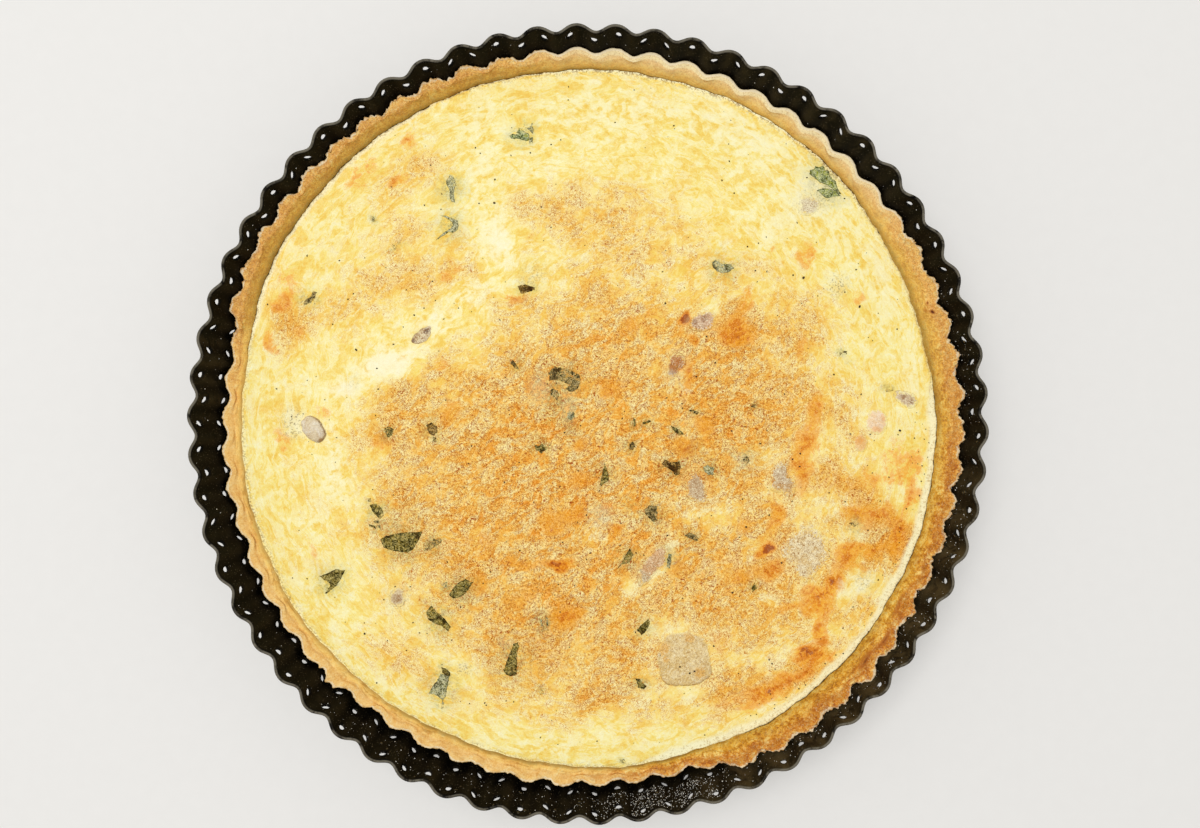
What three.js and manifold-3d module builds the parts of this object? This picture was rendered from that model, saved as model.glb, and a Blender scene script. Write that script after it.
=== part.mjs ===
// Seafood quiche in its own fluted tart tin: the tin, the pastry crust, the baked custard that
// fills it, and the pieces of seafood that show at the top. The tin's pinholes aren't cut here.
// Millimetres, +Z up, origin on the ground under the middle of the tin.
import * as THREE from 'three';
import { mergeVertices } from 'three/addons/utils/BufferGeometryUtils.js';
import Module from 'manifold-3d';

// Tin
const tinHeight = 35;
const rimRadius = 138.6; // mean radius of the outer face at the rim
const wallSlope = Math.tan(THREE.MathUtils.degToRad(20)); // how far the wall leans out
const sheet = 0.8; // thickness of the metal
const fluteCount = 62;
const fluteDepth = 1.35; // each way from the mean radius, at the rim
const fluteStart = THREE.MathUtils.degToRad(-1.2); // the first outward crest
const columnsPerFlute = 4;

// Crust
const gap = 0.35; // air left between touching pieces, up and down
const sideGap = 0.46; // the same across a leaning wall
const crustFloor = 4;
const crustWallFoot = 5.2; // thickness of the wall where it meets the floor
const crustTopHigh = 26.2;
const crustTopLow = 22.8; // the side that slumped in baking
const crustPulledIn = 0.9; // how far the slumped side has shrunk off the tin
const crustCrown = 2.4; // from the outer edge to the top of the rim
const crustLand = 5.4; // from the outer edge to where the rim turns down
const crustLandLeast = 1.2; // its least width above the filling
const crustEdgeDrop = 1.1; // the outer edge and the land lie this far under the top
const crustLandDrop = 0.7;

// Filling
const fillingTop = 22.4;
const fillingRadius = 126.4; // where it meets the crust
const fillingColumns = 124;
const shoulderHeight = 20.4; // where its side meets the crust
const shoulderNarrow = 1.1;
const shoulderBroad = 4; // where the pale side shows

// Seafood
const lumpColumns = 12;
const lumpWaist = 1.5; // how far under the top a piece is widest
const pocketLid = 4; // how far a pocket's cutter reaches above the filling

const turn = Math.PI * 2;
const degrees = THREE.MathUtils.degToRad;

// 1 inside the sector from one angle to another, fading to 0 over soft degrees at each end
function sector(angle, from, to, soft) {
  const middle = degrees((from + to) / 2);
  const half = degrees((to - from) / 2);
  const away = Math.abs(THREE.MathUtils.euclideanModulo(angle - middle + Math.PI, turn) - Math.PI);
  return 1 - THREE.MathUtils.smoothstep(away, half - degrees(soft) / 2, half + degrees(soft) / 2);
}

// a round outward crest with a narrower valley, from about +1 to -1
function flute(angle) {
  const phase = (angle - fluteStart) * fluteCount;
  return Math.cos(phase) - 0.12 * Math.cos(2 * phase);
}

const slump = (angle) => sector(angle, 163, 292, 10);
const creamBand = (angle) => sector(angle, 281, 365, 8); // where the filling's pale shoulder shows
const crumbly = (angle) => 0.22 * Math.sin(7 * angle + 1) + 0.18 * Math.sin(19 * angle + 2.2);

// the tin wall's mean outer radius, and the flutes' depth, which fades towards the base
const wallRadius = (z) => rimRadius - (tinHeight - z) * wallSlope;
const fluteReach = (z) => fluteDepth * (0.45 + 0.55 * z / tinHeight);

// Turns a profile that changes with the angle: outline(angle) lists [radius, height], from axis to axis
function turned(columns, outline) {
  const points = outline(0).map(([radius, height]) => new THREE.Vector2(radius, height));
  const geometry = new THREE.LatheGeometry(points, columns);
  const place = geometry.attributes.position;
  for (let i = 0; i < place.count; i++) {
    const angle = fluteStart + (Math.floor(i / points.length) % columns) / columns * turn;
    const [radius, height] = outline(angle)[i % points.length];
    place.setXYZ(i, radius * Math.cos(angle), radius * Math.sin(angle), height);
  }
  return closed(geometry);
}

// Merges the seam and the poles, and drops the flat triangles that the poles leave
function closed(geometry) {
  geometry.deleteAttribute('normal');
  geometry.deleteAttribute('uv');
  const merged = mergeVertices(geometry, 1e-3);
  const corners = merged.index.array;
  const kept = [];
  for (let i = 0; i < corners.length; i += 3) {
    const [a, b, c] = corners.slice(i, i + 3);
    if (a !== b && b !== c && c !== a) kept.push(a, b, c);
  }
  merged.setIndex(kept);
  return merged;
}

// The tin: pressed sheet, with a flat base and a plain cut rim
function tinOutline(angle) {
  const side = (z, inset) => [wallRadius(z) - inset + fluteReach(z) * flute(angle), z];
  return [
    [0, 0],
    side(0, 0),
    side(tinHeight, 0),
    side(tinHeight, sheet),
    side(sheet, sheet),
    [0, sheet],
  ];
}

// The crust: fluted outside by the tin, smooth inside, its rim uneven and lower where it slumped
function crustOutline(angle) {
  const low = slump(angle);
  const top = THREE.MathUtils.lerp(crustTopHigh, crustTopLow, low) + crumbly(angle);
  const bottom = sheet + gap;
  const outer = (z, pulled) =>
    wallRadius(z) - sheet - sideGap - pulled * low * crustPulledIn + fluteReach(z) * flute(angle);
  const edge = outer(top, 1);
  const crown = edge - fluteReach(top) * 0.4 * flute(angle) - crustCrown;
  const inside = fillingEdge(angle) + sideGap;
  const floorEdge = outer(bottom, 0) - fluteReach(bottom) * flute(angle) - crustWallFoot;
  return [
    [0, bottom],
    [outer(bottom, 0), bottom],
    [outer(top - crustEdgeDrop, 1), top - crustEdgeDrop],
    [crown, top],
    [Math.max(edge - crustLand, inside + crustLandLeast), top - crustLandDrop],
    [inside, shoulderFoot(angle)],
    [floorEdge, bottom + crustFloor],
    [0, bottom + crustFloor],
  ];
}

// where the filling meets the crust, and how high
function fillingEdge(angle) {
  return fillingRadius + 2.2 * sector(angle, 54, 164, 11) - 2.1 * slump(angle);
}
const shoulderFoot = (angle) => shoulderHeight - 1.1 * slump(angle) + 0.8 * sector(angle, 30, 165, 20);

// the filling's top: nearly level, a little risen towards the middle right and sunk at the rim
function fillingHeight(x, y) {
  const swell = 0.5 * Math.cos(x / 46 - 0.7) * Math.cos(y / 52 + 0.5);
  return fillingTop + swell - 0.6 * Math.hypot(x, y) / fillingRadius;
}

// The filling: it fills the crust, with a shoulder that is broad where its pale side shows
function fillingOutline(angle) {
  const edge = fillingEdge(angle);
  const foot = shoulderFoot(angle) - gap;
  const shoulder = THREE.MathUtils.lerp(shoulderNarrow, shoulderBroad, creamBand(angle));
  const bottom = sheet + gap + crustFloor + gap;
  const floorEdge = wallRadius(sheet) - sheet - sideGap - crustWallFoot - sideGap;
  const ring = (radius) => [radius, fillingHeight(radius * Math.cos(angle), radius * Math.sin(angle))];
  return [
    [0, bottom],
    [floorEdge, bottom],
    [edge, foot],
    [edge - shoulder * 0.35, foot + (fillingTop - 0.6 - foot) * 0.7],
    ring(edge - shoulder),
    ring(edge * 0.68),
    ring(edge * 0.36),
    [0, fillingHeight(0, 0)],
  ];
}

// Seafood that shows at the top of the filling. along and across are a piece's sizes, tilt its turn
// in degrees, proud how far it stands out, depth how far it goes down, square how boxy its outline
// is and bulge how uneven.
const plainPiece = { proud: 0.4, depth: 6, square: 0, bulge: 0.12 };
const seafood = [
  { name: 'scallop', x: 34.5, y: -85.5, along: 20, across: 19, tilt: 8, depth: 9, square: 1, bulge: 0.03 },
  { name: 'mussel', x: -100, y: -1.5, along: 11, across: 7.5, tilt: -50, proud: 1.6, bulge: 0.05 },
  { name: 'fish_patch', x: 79, y: -48, along: 18, across: 16, tilt: 60, depth: 8, square: 0.4, bulge: 0.1 },
  { name: 'fish_upper', x: 41.5, y: 37, along: 12.5, across: 8, tilt: 15 },
  { name: 'fish_browned', x: 31, y: 20, along: 11, across: 7, tilt: 75, proud: 0.7 },
  { name: 'fish_middle', x: 39, y: -23.5, along: 13.5, across: 8.5, tilt: 100, bulge: 0.14 },
  { name: 'fish_right', x: 69, y: -18, along: 13, across: 8, tilt: 85, square: 0.3, bulge: 0.14 },
  { name: 'prawn_strip', x: 23, y: -51, along: 18.5, across: 8, tilt: 55, proud: 0.6, bulge: 0.08 },
  { name: 'fish_edge', x: 115, y: 9, along: 11, across: 5.5, tilt: -25, depth: 5, bulge: 0.1 },
  { name: 'prawn_pink', x: 104.5, y: 1, along: 10, across: 6.5, tilt: -20, square: 0.2, bulge: 0.1 },
  { name: 'prawn_orange', x: 97.5, y: -6, along: 7, across: 5.5, tilt: 40, depth: 5 },
  { name: 'fish_top', x: 79.5, y: 79, along: 9, across: 8, tilt: 20, depth: 5 },
  { name: 'fish_left', x: -69, y: -63, along: 8, across: 6, tilt: 80, depth: 5 },
  { name: 'fish_corner', x: -60.5, y: 32, along: 7, across: 5.5, tilt: 35, depth: 5, square: 0.6 },
].map((piece) => ({ ...plainPiece, ...piece }));

// A low lump, its outline an oval pressed towards a box with a few soft bulges. The cutter for its
// pocket is a gap larger all round and runs straight up out of the filling.
const lumpProfile = ({ proud, depth }) =>
  [[0, -depth], [0.7, -depth], [1, -lumpWaist], [0.74, proud * 0.6], [0, proud]];
const pocketProfile = ({ depth }) =>
  [[0, -depth - gap], [0.7, -depth - gap], [1, -lumpWaist], [1, pocketLid], [0, pocketLid]];

function lump(piece, profile, grow) {
  const { along, across, bulge } = piece;
  const lean = degrees(piece.tilt);
  const base = fillingHeight(piece.x, piece.y);
  const points = profile.map(([radius, height]) => new THREE.Vector2(radius, height));
  const geometry = new THREE.LatheGeometry(points, lumpColumns);
  const place = geometry.attributes.position;
  for (let i = 0; i < place.count; i++) {
    const angle = (Math.floor(i / points.length) % lumpColumns) / lumpColumns * turn;
    const [radius, height] = profile[i % points.length];
    const boxy = 1 + piece.square * 0.16 * Math.sin(2 * angle) ** 2;
    const uneven = boxy + bulge * (Math.sin(3 * angle + along) + 0.6 * Math.cos(5 * angle + across));
    const u = radius * (along / 2 * uneven + grow) * Math.cos(angle);
    const v = radius * (across / 2 * uneven + grow) * Math.sin(angle);
    const x = piece.x + u * Math.cos(lean) - v * Math.sin(lean);
    const y = piece.y + u * Math.sin(lean) + v * Math.cos(lean);
    place.setXYZ(i, x, y, base + height);
  }
  return closed(geometry);
}

const wasm = await Module();
wasm.setup();

function toSolid(geometry) {
  return new wasm.Manifold(new wasm.Mesh({
    numProp: 3,
    vertProperties: new Float32Array(geometry.attributes.position.array),
    triVerts: new Uint32Array(geometry.index.array),
  }));
}

function toGeometry(solid) {
  const mesh = solid.getMesh();
  const geometry = new THREE.BufferGeometry();
  geometry.setAttribute('position', new THREE.BufferAttribute(new Float32Array(mesh.vertProperties), 3));
  geometry.setIndex(new THREE.BufferAttribute(new Uint32Array(mesh.triVerts), 1));
  return geometry;
}

// The filling with a pocket for each piece of seafood
function makeFilling() {
  let solid = toSolid(turned(fillingColumns, fillingOutline));
  for (const piece of seafood) {
    solid = solid.subtract(toSolid(lump(piece, pocketProfile(piece), gap)));
  }
  return toGeometry(solid);
}

const finishes = {
  tin: new THREE.MeshStandardMaterial({ color: 0x17120f, roughness: 0.35, metalness: 0.3 }),
  crust: new THREE.MeshStandardMaterial({ color: 0xd9a35c, roughness: 0.85, metalness: 0 }),
  custard: new THREE.MeshStandardMaterial({ color: 0xf6cf6e, roughness: 0.5, metalness: 0 }),
  whiteFish: new THREE.MeshStandardMaterial({ color: 0xe6dcc8, roughness: 0.5, metalness: 0 }),
  shellfish: new THREE.MeshStandardMaterial({ color: 0xe9b48a, roughness: 0.5, metalness: 0 }),
};

const quiche = new THREE.Group();

function add(name, geometry, material) {
  const mesh = new THREE.Mesh(geometry, material);
  mesh.name = name;
  quiche.add(mesh);
}

add('tin', turned(fluteCount * columnsPerFlute, tinOutline), finishes.tin);
add('crust', turned(fluteCount * columnsPerFlute, crustOutline), finishes.crust);
add('custard', makeFilling(), finishes.custard);
for (const piece of seafood) {
  const shell = piece.name.startsWith('prawn') || piece.name === 'mussel';
  add(piece.name, lump(piece, lumpProfile(piece), 0), shell ? finishes.shellfish : finishes.whiteFish);
}

export default quiche;
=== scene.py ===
import math
import random

import bmesh
import bpy
import numpy as np
from mathutils import Matrix, Vector, noise


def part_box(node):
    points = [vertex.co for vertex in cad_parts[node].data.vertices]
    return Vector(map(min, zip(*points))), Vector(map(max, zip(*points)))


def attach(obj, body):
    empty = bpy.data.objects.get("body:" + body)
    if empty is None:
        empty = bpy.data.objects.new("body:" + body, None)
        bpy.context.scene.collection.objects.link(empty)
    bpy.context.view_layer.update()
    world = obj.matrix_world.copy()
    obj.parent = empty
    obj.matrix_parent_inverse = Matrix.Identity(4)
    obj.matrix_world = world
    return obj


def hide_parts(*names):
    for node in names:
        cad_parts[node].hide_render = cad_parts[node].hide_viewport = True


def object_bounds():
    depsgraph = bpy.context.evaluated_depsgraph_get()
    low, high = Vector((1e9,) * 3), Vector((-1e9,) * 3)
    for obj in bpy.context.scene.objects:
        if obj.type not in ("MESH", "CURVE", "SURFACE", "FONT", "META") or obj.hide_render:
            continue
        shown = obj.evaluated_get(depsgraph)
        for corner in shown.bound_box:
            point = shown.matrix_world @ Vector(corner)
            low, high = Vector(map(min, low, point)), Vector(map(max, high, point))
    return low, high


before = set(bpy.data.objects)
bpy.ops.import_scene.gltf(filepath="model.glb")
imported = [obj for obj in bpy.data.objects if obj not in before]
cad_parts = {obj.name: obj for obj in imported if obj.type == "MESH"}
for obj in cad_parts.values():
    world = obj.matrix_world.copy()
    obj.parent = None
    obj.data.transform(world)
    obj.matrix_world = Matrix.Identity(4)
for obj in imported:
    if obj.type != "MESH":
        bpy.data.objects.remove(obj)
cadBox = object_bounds()
print("frame loaded:", len(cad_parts), "nodes")

mm = 0.001
fullTurn = 2 * math.pi


def paint(red, green, blue):  # a colour mixed on the screen's scale, turned into the shader's
    def level(value):
        value = value / 255
        return value / 12.92 if value <= 0.04045 else ((value + 0.055) / 1.055) ** 2.4
    return (level(red), level(green), level(blue), 1)


def ease(value, low, high):  # 0 below low, 1 above high, smooth between
    share = np.clip((value - low) / (high - low), 0, 1)
    return share * share * (3 - 2 * share)


def sector(angle, start, stop, soft):  # 1 between two angles in degrees, fading over soft
    middle = math.radians((start + stop) / 2)
    half = math.radians((stop - start) / 2)
    away = np.abs((angle - middle + math.pi) % fullTurn - math.pi)
    edge = math.radians(soft) / 2
    return 1 - ease(away, half - edge, half + edge)


# adds up changes, each with its start, stop and softness in degrees and its amount
def stretches(angle, changes):
    return sum(amount * sector(angle, start, stop, soft) for start, stop, soft, amount in changes)


def plateau(value, rising, falling):  # 1 from the end of rising to the start of falling
    return ease(value, *rising) * (1 - ease(value, *falling))


def coordsOf(mesh):
    flat = np.zeros(len(mesh.vertices) * 3)
    mesh.vertices.foreach_get("co", flat)
    return flat.reshape(-1, 3)


def placeAll(mesh, coords):
    mesh.vertices.foreach_set("co", np.ascontiguousarray(coords, dtype=np.float32).ravel())
    mesh.update()


def around(angles, radius, height):  # places round the tin's axis
    return np.stack([radius * np.cos(angles), radius * np.sin(angles), height], axis=1)


def wrapLayer(mesh, name, across, angles, turn):  # places for a pattern that runs round the ring
    layer = mesh.attributes.new(name, "FLOAT_VECTOR", "POINT")
    vectors = np.stack([across, turn * np.cos(angles), turn * np.sin(angles)], axis=1)
    layer.data.foreach_set("vector", np.ascontiguousarray(vectors, dtype=np.float32).ravel())


def colourLayer(mesh, name, red, green=0, blue=0):  # one painted value per point, in three channels
    layer = mesh.attributes.new(name, "FLOAT_COLOR", "POINT")
    values = np.ones((len(mesh.vertices), 4), dtype=np.float32)
    values[:, 0], values[:, 1], values[:, 2] = red, green, blue
    layer.data.foreach_set("color", values.ravel())


def piece(name, mesh, material, nodes=(), smooth=True):
    obj = bpy.data.objects.new(name, mesh)
    bpy.context.scene.collection.objects.link(obj)
    mesh.materials.clear()
    mesh.materials.append(material)
    for polygon in mesh.polygons:
        polygon.use_smooth = smooth
    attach(obj, "root")
    if nodes:
        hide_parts(*nodes)
    return obj


def finished(bm, name):
    mesh = bpy.data.meshes.new(name)
    bm.to_mesh(mesh)
    bm.free()
    return mesh


# a strip of rows spun once round: each point keeps its row, each column its angle
def spunRows(rows, turns, cuts, start=0.0):
    bm = bmesh.new()
    rowLayer = bm.verts.layers.float.new("row")
    first = (math.cos(start), math.sin(start))
    chain = [bm.verts.new((first[0], first[1], 0.01 * k)) for k in range(rows)]
    for k, vert in enumerate(chain):
        vert[rowLayer] = k
    edges = [bm.edges.new(pair) for pair in zip(chain, chain[1:])]
    bmesh.ops.spin(bm, geom=chain + edges, cent=(0, 0, 0), axis=(0, 0, 1), angle=fullTurn,
                   steps=turns, use_merge=True, use_duplicate=False)
    bmesh.ops.remove_doubles(bm, verts=bm.verts[:], dist=1e-5)
    rings = [e for e in bm.edges if abs(e.verts[0][rowLayer] - e.verts[1][rowLayer]) < 0.5]
    if cuts:
        bmesh.ops.subdivide_edges(bm, edges=rings, cuts=cuts, use_grid_fill=True)
    return bm


def takenLayer(mesh, name):  # a bmesh's point values, read off the mesh and removed from it
    values = np.zeros(len(mesh.vertices))
    mesh.attributes[name].data.foreach_get("value", values)
    mesh.attributes.remove(mesh.attributes[name])
    return values


def rowsAndAngles(mesh):
    rows = np.rint(takenLayer(mesh, "row")).astype(int)
    coords = coordsOf(mesh)
    return rows, np.arctan2(coords[:, 1], coords[:, 0])


def closeRing(bm, top):  # caps the open ring at one end of a spun strip with one face
    rowLayer = bm.verts.layers.float["row"]
    rim = [e for e in bm.edges if e.is_boundary and all(abs(v[rowLayer] - top) < 0.5 for v in e.verts)]
    bmesh.ops.edgeloop_fill(bm, edges=rim)


# a smooth curve through control points of radius and height, with its own steps after each point
def smoothProfile(points, steps):
    last = len(points) - 1
    rows = []
    for k in range(last):
        before, here, after = points[max(k - 1, 0)], points[k], points[k + 1]
        beyond = points[min(k + 2, last)]
        for step in range(steps[k]):
            t = step / steps[k]
            rows.append(0.5 * (2 * here + (after - before) * t
                               + (2 * before - 5 * here + 4 * after - beyond) * t ** 2
                               + (3 * here - before - 3 * after + beyond) * t ** 3))
    rows.append(points[last])
    return np.array(rows)


def profileShares(steps):  # how far along the control points each row lies
    shares = [k + step / count for k, count in enumerate(steps) for step in range(count)]
    return np.array(shares + [len(steps)])


def fractal(x, y, z, size, depth=3):  # noise about 0 with features of about this size
    return np.array([noise.fractal(Vector(spot), 1.0, 2.0, depth)
                     for spot in zip(x / size, y / size, z / size)])


class Wire:  # one value in a material; Python's own operators add its Math nodes
    def __init__(self, book, socket):
        self.book = book
        self.socket = socket

    def maths(self, operation, *values):
        return self.book.add("ShaderNodeMath", {"operation": operation}, dict(enumerate(values)))

    def __add__(self, other):
        return self.maths("ADD", self, other)

    def __radd__(self, other):
        return self.maths("ADD", other, self)

    def __sub__(self, other):
        return self.maths("SUBTRACT", self, other)

    def __rsub__(self, other):
        return self.maths("SUBTRACT", other, self)

    def __mul__(self, other):
        return self.maths("MULTIPLY", self, other)

    def __rmul__(self, other):
        return self.maths("MULTIPLY", other, self)

    def __abs__(self):
        return self.maths("ABSOLUTE", self)


class Book:  # the nodes of one material
    def __init__(self, name):
        self.material = bpy.data.materials.new(name)
        self.material.use_nodes = True
        self.tree = self.material.node_tree
        self.tree.nodes.clear()

    def add(self, kind, settings=None, sockets=None, out=0):
        node = self.tree.nodes.new(kind)
        for key, value in (settings or {}).items():
            if key == "stops":
                ramp = node.color_ramp.elements
                while len(ramp) < len(value):
                    ramp.new(0.5)
                for element, (position, colour) in zip(ramp, value):
                    element.position = position
                    element.color = colour
            else:
                setattr(node, key, value)
        for key, value in (sockets or {}).items():
            if isinstance(value, Wire):
                self.tree.links.new(value.socket, node.inputs[key])
            else:
                node.inputs[key].default_value = value
        return Wire(self, node.outputs[out]) if len(node.outputs) else None

    def places(self):
        return self.add("ShaderNodeTexCoord", out="Object")

    def layer(self, name):  # the three painted channels of a point layer
        colour = self.add("ShaderNodeAttribute", {"attribute_name": name}, out="Color")
        return [self.add("ShaderNodeSeparateColor", sockets={0: colour}, out=k) for k in range(3)]

    def grain(self, size, detail=2.0, rough=0.5, distortion=0.0, where=None):
        return self.add("ShaderNodeTexNoise", sockets={
            "Vector": where or self.places(), "Scale": 1 / size, "Detail": detail,
            "Roughness": rough, "Distortion": distortion})

    def swing(self, size, detail=2.0, rough=0.5, distortion=0.0, where=None):  # about 0, mostly within 0.8
        return (self.grain(size, detail, rough, distortion, where) - 0.5) * 4

    def painted(self, name):  # a point layer of places, for a pattern that follows the piece
        return self.add("ShaderNodeAttribute", {"attribute_name": name}, out="Vector")

    def stretched(self, where, factors):
        return self.add("ShaderNodeVectorMath", {"operation": "MULTIPLY"}, {0: where, 1: factors})

    def ramp(self, value, places, colours):
        return self.add("ShaderNodeValToRGB", {"stops": list(zip(places, colours))}, {0: value})

    def between(self, value, low, high):  # 0 below low, 1 above high, smooth between
        return self.add("ShaderNodeMapRange", {"interpolation_type": "SMOOTHSTEP"}, {
            "Value": value, "From Min": low, "From Max": high})

    def tint(self, share, first, second):
        return self.add("ShaderNodeMix", {"data_type": "RGBA"}, {0: share, 6: first, 7: second}, out=2)

    def coats(self, colour, *layers):  # thin coats, each a share and a colour, one over the other
        for share, coat in layers:
            colour = self.tint(share, colour, coat)
        return colour

    def shade(self, colour, amount):  # darkens a colour by a value near 1
        grey = self.add("ShaderNodeCombineColor", sockets={0: amount, 1: amount, 2: amount})
        return self.add("ShaderNodeMix", {"data_type": "RGBA", "blend_type": "MULTIPLY"}, {
            0: 1.0, 6: colour, 7: grey}, out=2)

    def relief(self, height, distance, strength=1.0, under=None):
        sockets = {"Height": height, "Distance": distance, "Strength": strength}
        if under:
            sockets["Normal"] = under
        return self.add("ShaderNodeBump", sockets=sockets)

    def surface(self, **sockets):
        names = {key.replace("_", " "): value for key, value in sockets.items()}
        shader = self.add("ShaderNodeBsdfPrincipled", sockets=names)
        self.add("ShaderNodeOutputMaterial", sockets={"Surface": shader})
        return self.material


studio = {
    "height": 330 * mm,          # of the camera over the tin's rim
    "aside": (4.2 * mm, 3.5 * mm),
    "lens": 28.46,
    "key": {"place": (-0.55, 0.5, 3.0), "size": 2.2, "power": 65.0},
    "sky": 0.43,
    "floor": paint(236, 234, 230),
    "floorHalf": 3,              # metres from the middle to each side
}


def makeLamp(name, place, size, power):
    lamp = bpy.data.lights.new(name, "AREA")
    lamp.shape = "SQUARE"
    lamp.size = size
    lamp.energy = power
    obj = bpy.data.objects.new(name, lamp)
    obj.location = place
    obj.rotation_euler = (Vector((0, 0, 0)) - Vector(place)).to_track_quat("-Z", "Y").to_euler()
    bpy.context.scene.collection.objects.link(obj)


def makeStudio():
    scene = bpy.context.scene
    scene.view_settings.view_transform = "Standard"
    camera = bpy.data.cameras.new("camera")
    camera.lens = studio["lens"]
    camera.clip_start = 0.01
    cameraObject = bpy.data.objects.new("camera", camera)
    cameraObject.location = (*studio["aside"], cadBox[1].z + studio["height"])
    scene.collection.objects.link(cameraObject)
    scene.camera = cameraObject
    makeLamp("key", **studio["key"])
    world = bpy.data.worlds.new("sky")
    world.use_nodes = True
    world.node_tree.nodes["Background"].inputs["Color"].default_value = (1, 1, 1, 1)
    world.node_tree.nodes["Background"].inputs["Strength"].default_value = studio["sky"]
    scene.world = world
    book = Book("floor")
    speckle = book.grain(6 * mm, 3)
    speckled = book.shade(studio["floor"], speckle * 0.03 + 0.985)
    floorFinish = book.surface(Base_Color=speckled, Roughness=0.7)
    bm = bmesh.new()
    bmesh.ops.create_grid(bm, x_segments=2, y_segments=2, size=studio["floorHalf"])
    floorMesh = finished(bm, "floor")
    floorMesh.materials.append(floorFinish)
    floor = bpy.data.objects.new("floor", floorMesh)
    scene.collection.objects.link(floor)


makeStudio()
print("studio ready")


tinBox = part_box("tin")
tin = {
    "height": tinBox[1].z,
    "flutes": 62,
    "fluteStart": math.radians(-1.2),
    "fluteDepth": 1.35 * mm,
    "lean": math.tan(math.radians(20)),
    "sheet": 0.8 * mm,
    "holesRound": 99,
    "holeRadius": 1.2 * mm,
    "holeRows": (30.8 * mm, 21.6 * mm, 12.4 * mm),  # heights
    "holeStep": 0.95 * mm,                          # spacing of the sheet's rows beside a hole
    "holeColumns": 10,                              # of the sheet to each hole
    "levels": 28,                                   # up the wall, away from the holes
    "basePitch": 9.6 * mm,
    "baseMargin": 8 * mm,                           # without holes
    "holeSides": 10,
    "coating": (paint(4, 3, 2), paint(10, 8, 5)),
    "film": paint(72, 61, 38),                      # baked-on grease, lightened by painted sheen where the wall faces the lamp
    "stain": paint(44, 37, 24),
    "dust": paint(120, 110, 88),
    "bare": paint(112, 106, 92),                    # the cut rim: bare metal, lightened as a painted highlight
    # where the grease and its painted sheen show: start, stop and softness in degrees, how much
    "bright": (288, 352, 22),
    "faint": ((40, 75, 12, 0.3), (166, 178, 5, 0.4)),
}
# height and mean radius of the outer face at the rim
tin["rise"] = tin["height"] - tin["sheet"] * math.sin(math.atan(tin["lean"])) - 0.02 * mm
tin["radius"] = tinBox[1].x - 0.88 * tin["fluteDepth"]


def flute(angle):
    phase = (angle - tin["fluteStart"]) * tin["flutes"]
    return np.cos(phase) - 0.12 * np.cos(2 * phase)


def wallRadius(height):
    return tin["radius"] - (tin["height"] - height) * tin["lean"]


def fluteReach(height):
    return tin["fluteDepth"] * (0.45 + 0.55 * height / tin["height"])


def insideWall(angle, height):  # radius of the tin's inner face
    return wallRadius(height) + fluteReach(height) * flute(angle) - 1.08 * tin["sheet"]


def tinFinish():
    book = Book("tin coating")
    film, edge, _ = book.layer("film")
    cloud = book.grain(14 * mm, 4, 0.6)
    grit = book.grain(0.9 * mm, 2)
    smear = book.grain(5 * mm, 3, 0.6, 1.0)
    dust = book.grain(0.45 * mm, 1)
    colour = book.coats(
        book.tint(book.between(cloud, 0.35, 0.7), *tin["coating"]),
        # grease with painted sheen on the wall
        (film * book.between(smear, 0.22, 0.6), tin["film"]),
        (book.between(smear, 0.6, 0.8) * 0.25, tin["stain"]),
        (book.between(dust, 0.66, 0.76) * 0.5, tin["dust"]),
        # painted highlight along the cut rim
        (book.between(edge, 0.55, 0.95) * book.between(smear, 0.3, 0.6), tin["bare"]))
    rough = 0.24 + 0.16 * smear + 0.1 * grit
    bump = book.relief(grit, 0.05 * mm, 0.35)
    return book.surface(Base_Color=colour, Roughness=rough, Normal=bump, Specular_IOR_Level=0.05)


def wallHeights():  # rows up the wall, closer beside each row of holes
    step = tin["holeStep"] * math.cos(math.atan(tin["lean"]))
    heights = []
    for row in tin["holeRows"]:
        heights += [row + k * step for k in range(-3, 4)]
    for k in range(tin["levels"] + 1):
        height = k / tin["levels"] * tin["rise"]
        if all(abs(height - row) > 3.6 * step for row in tin["holeRows"]):
            heights.append(height)
    return sorted(heights), step


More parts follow.
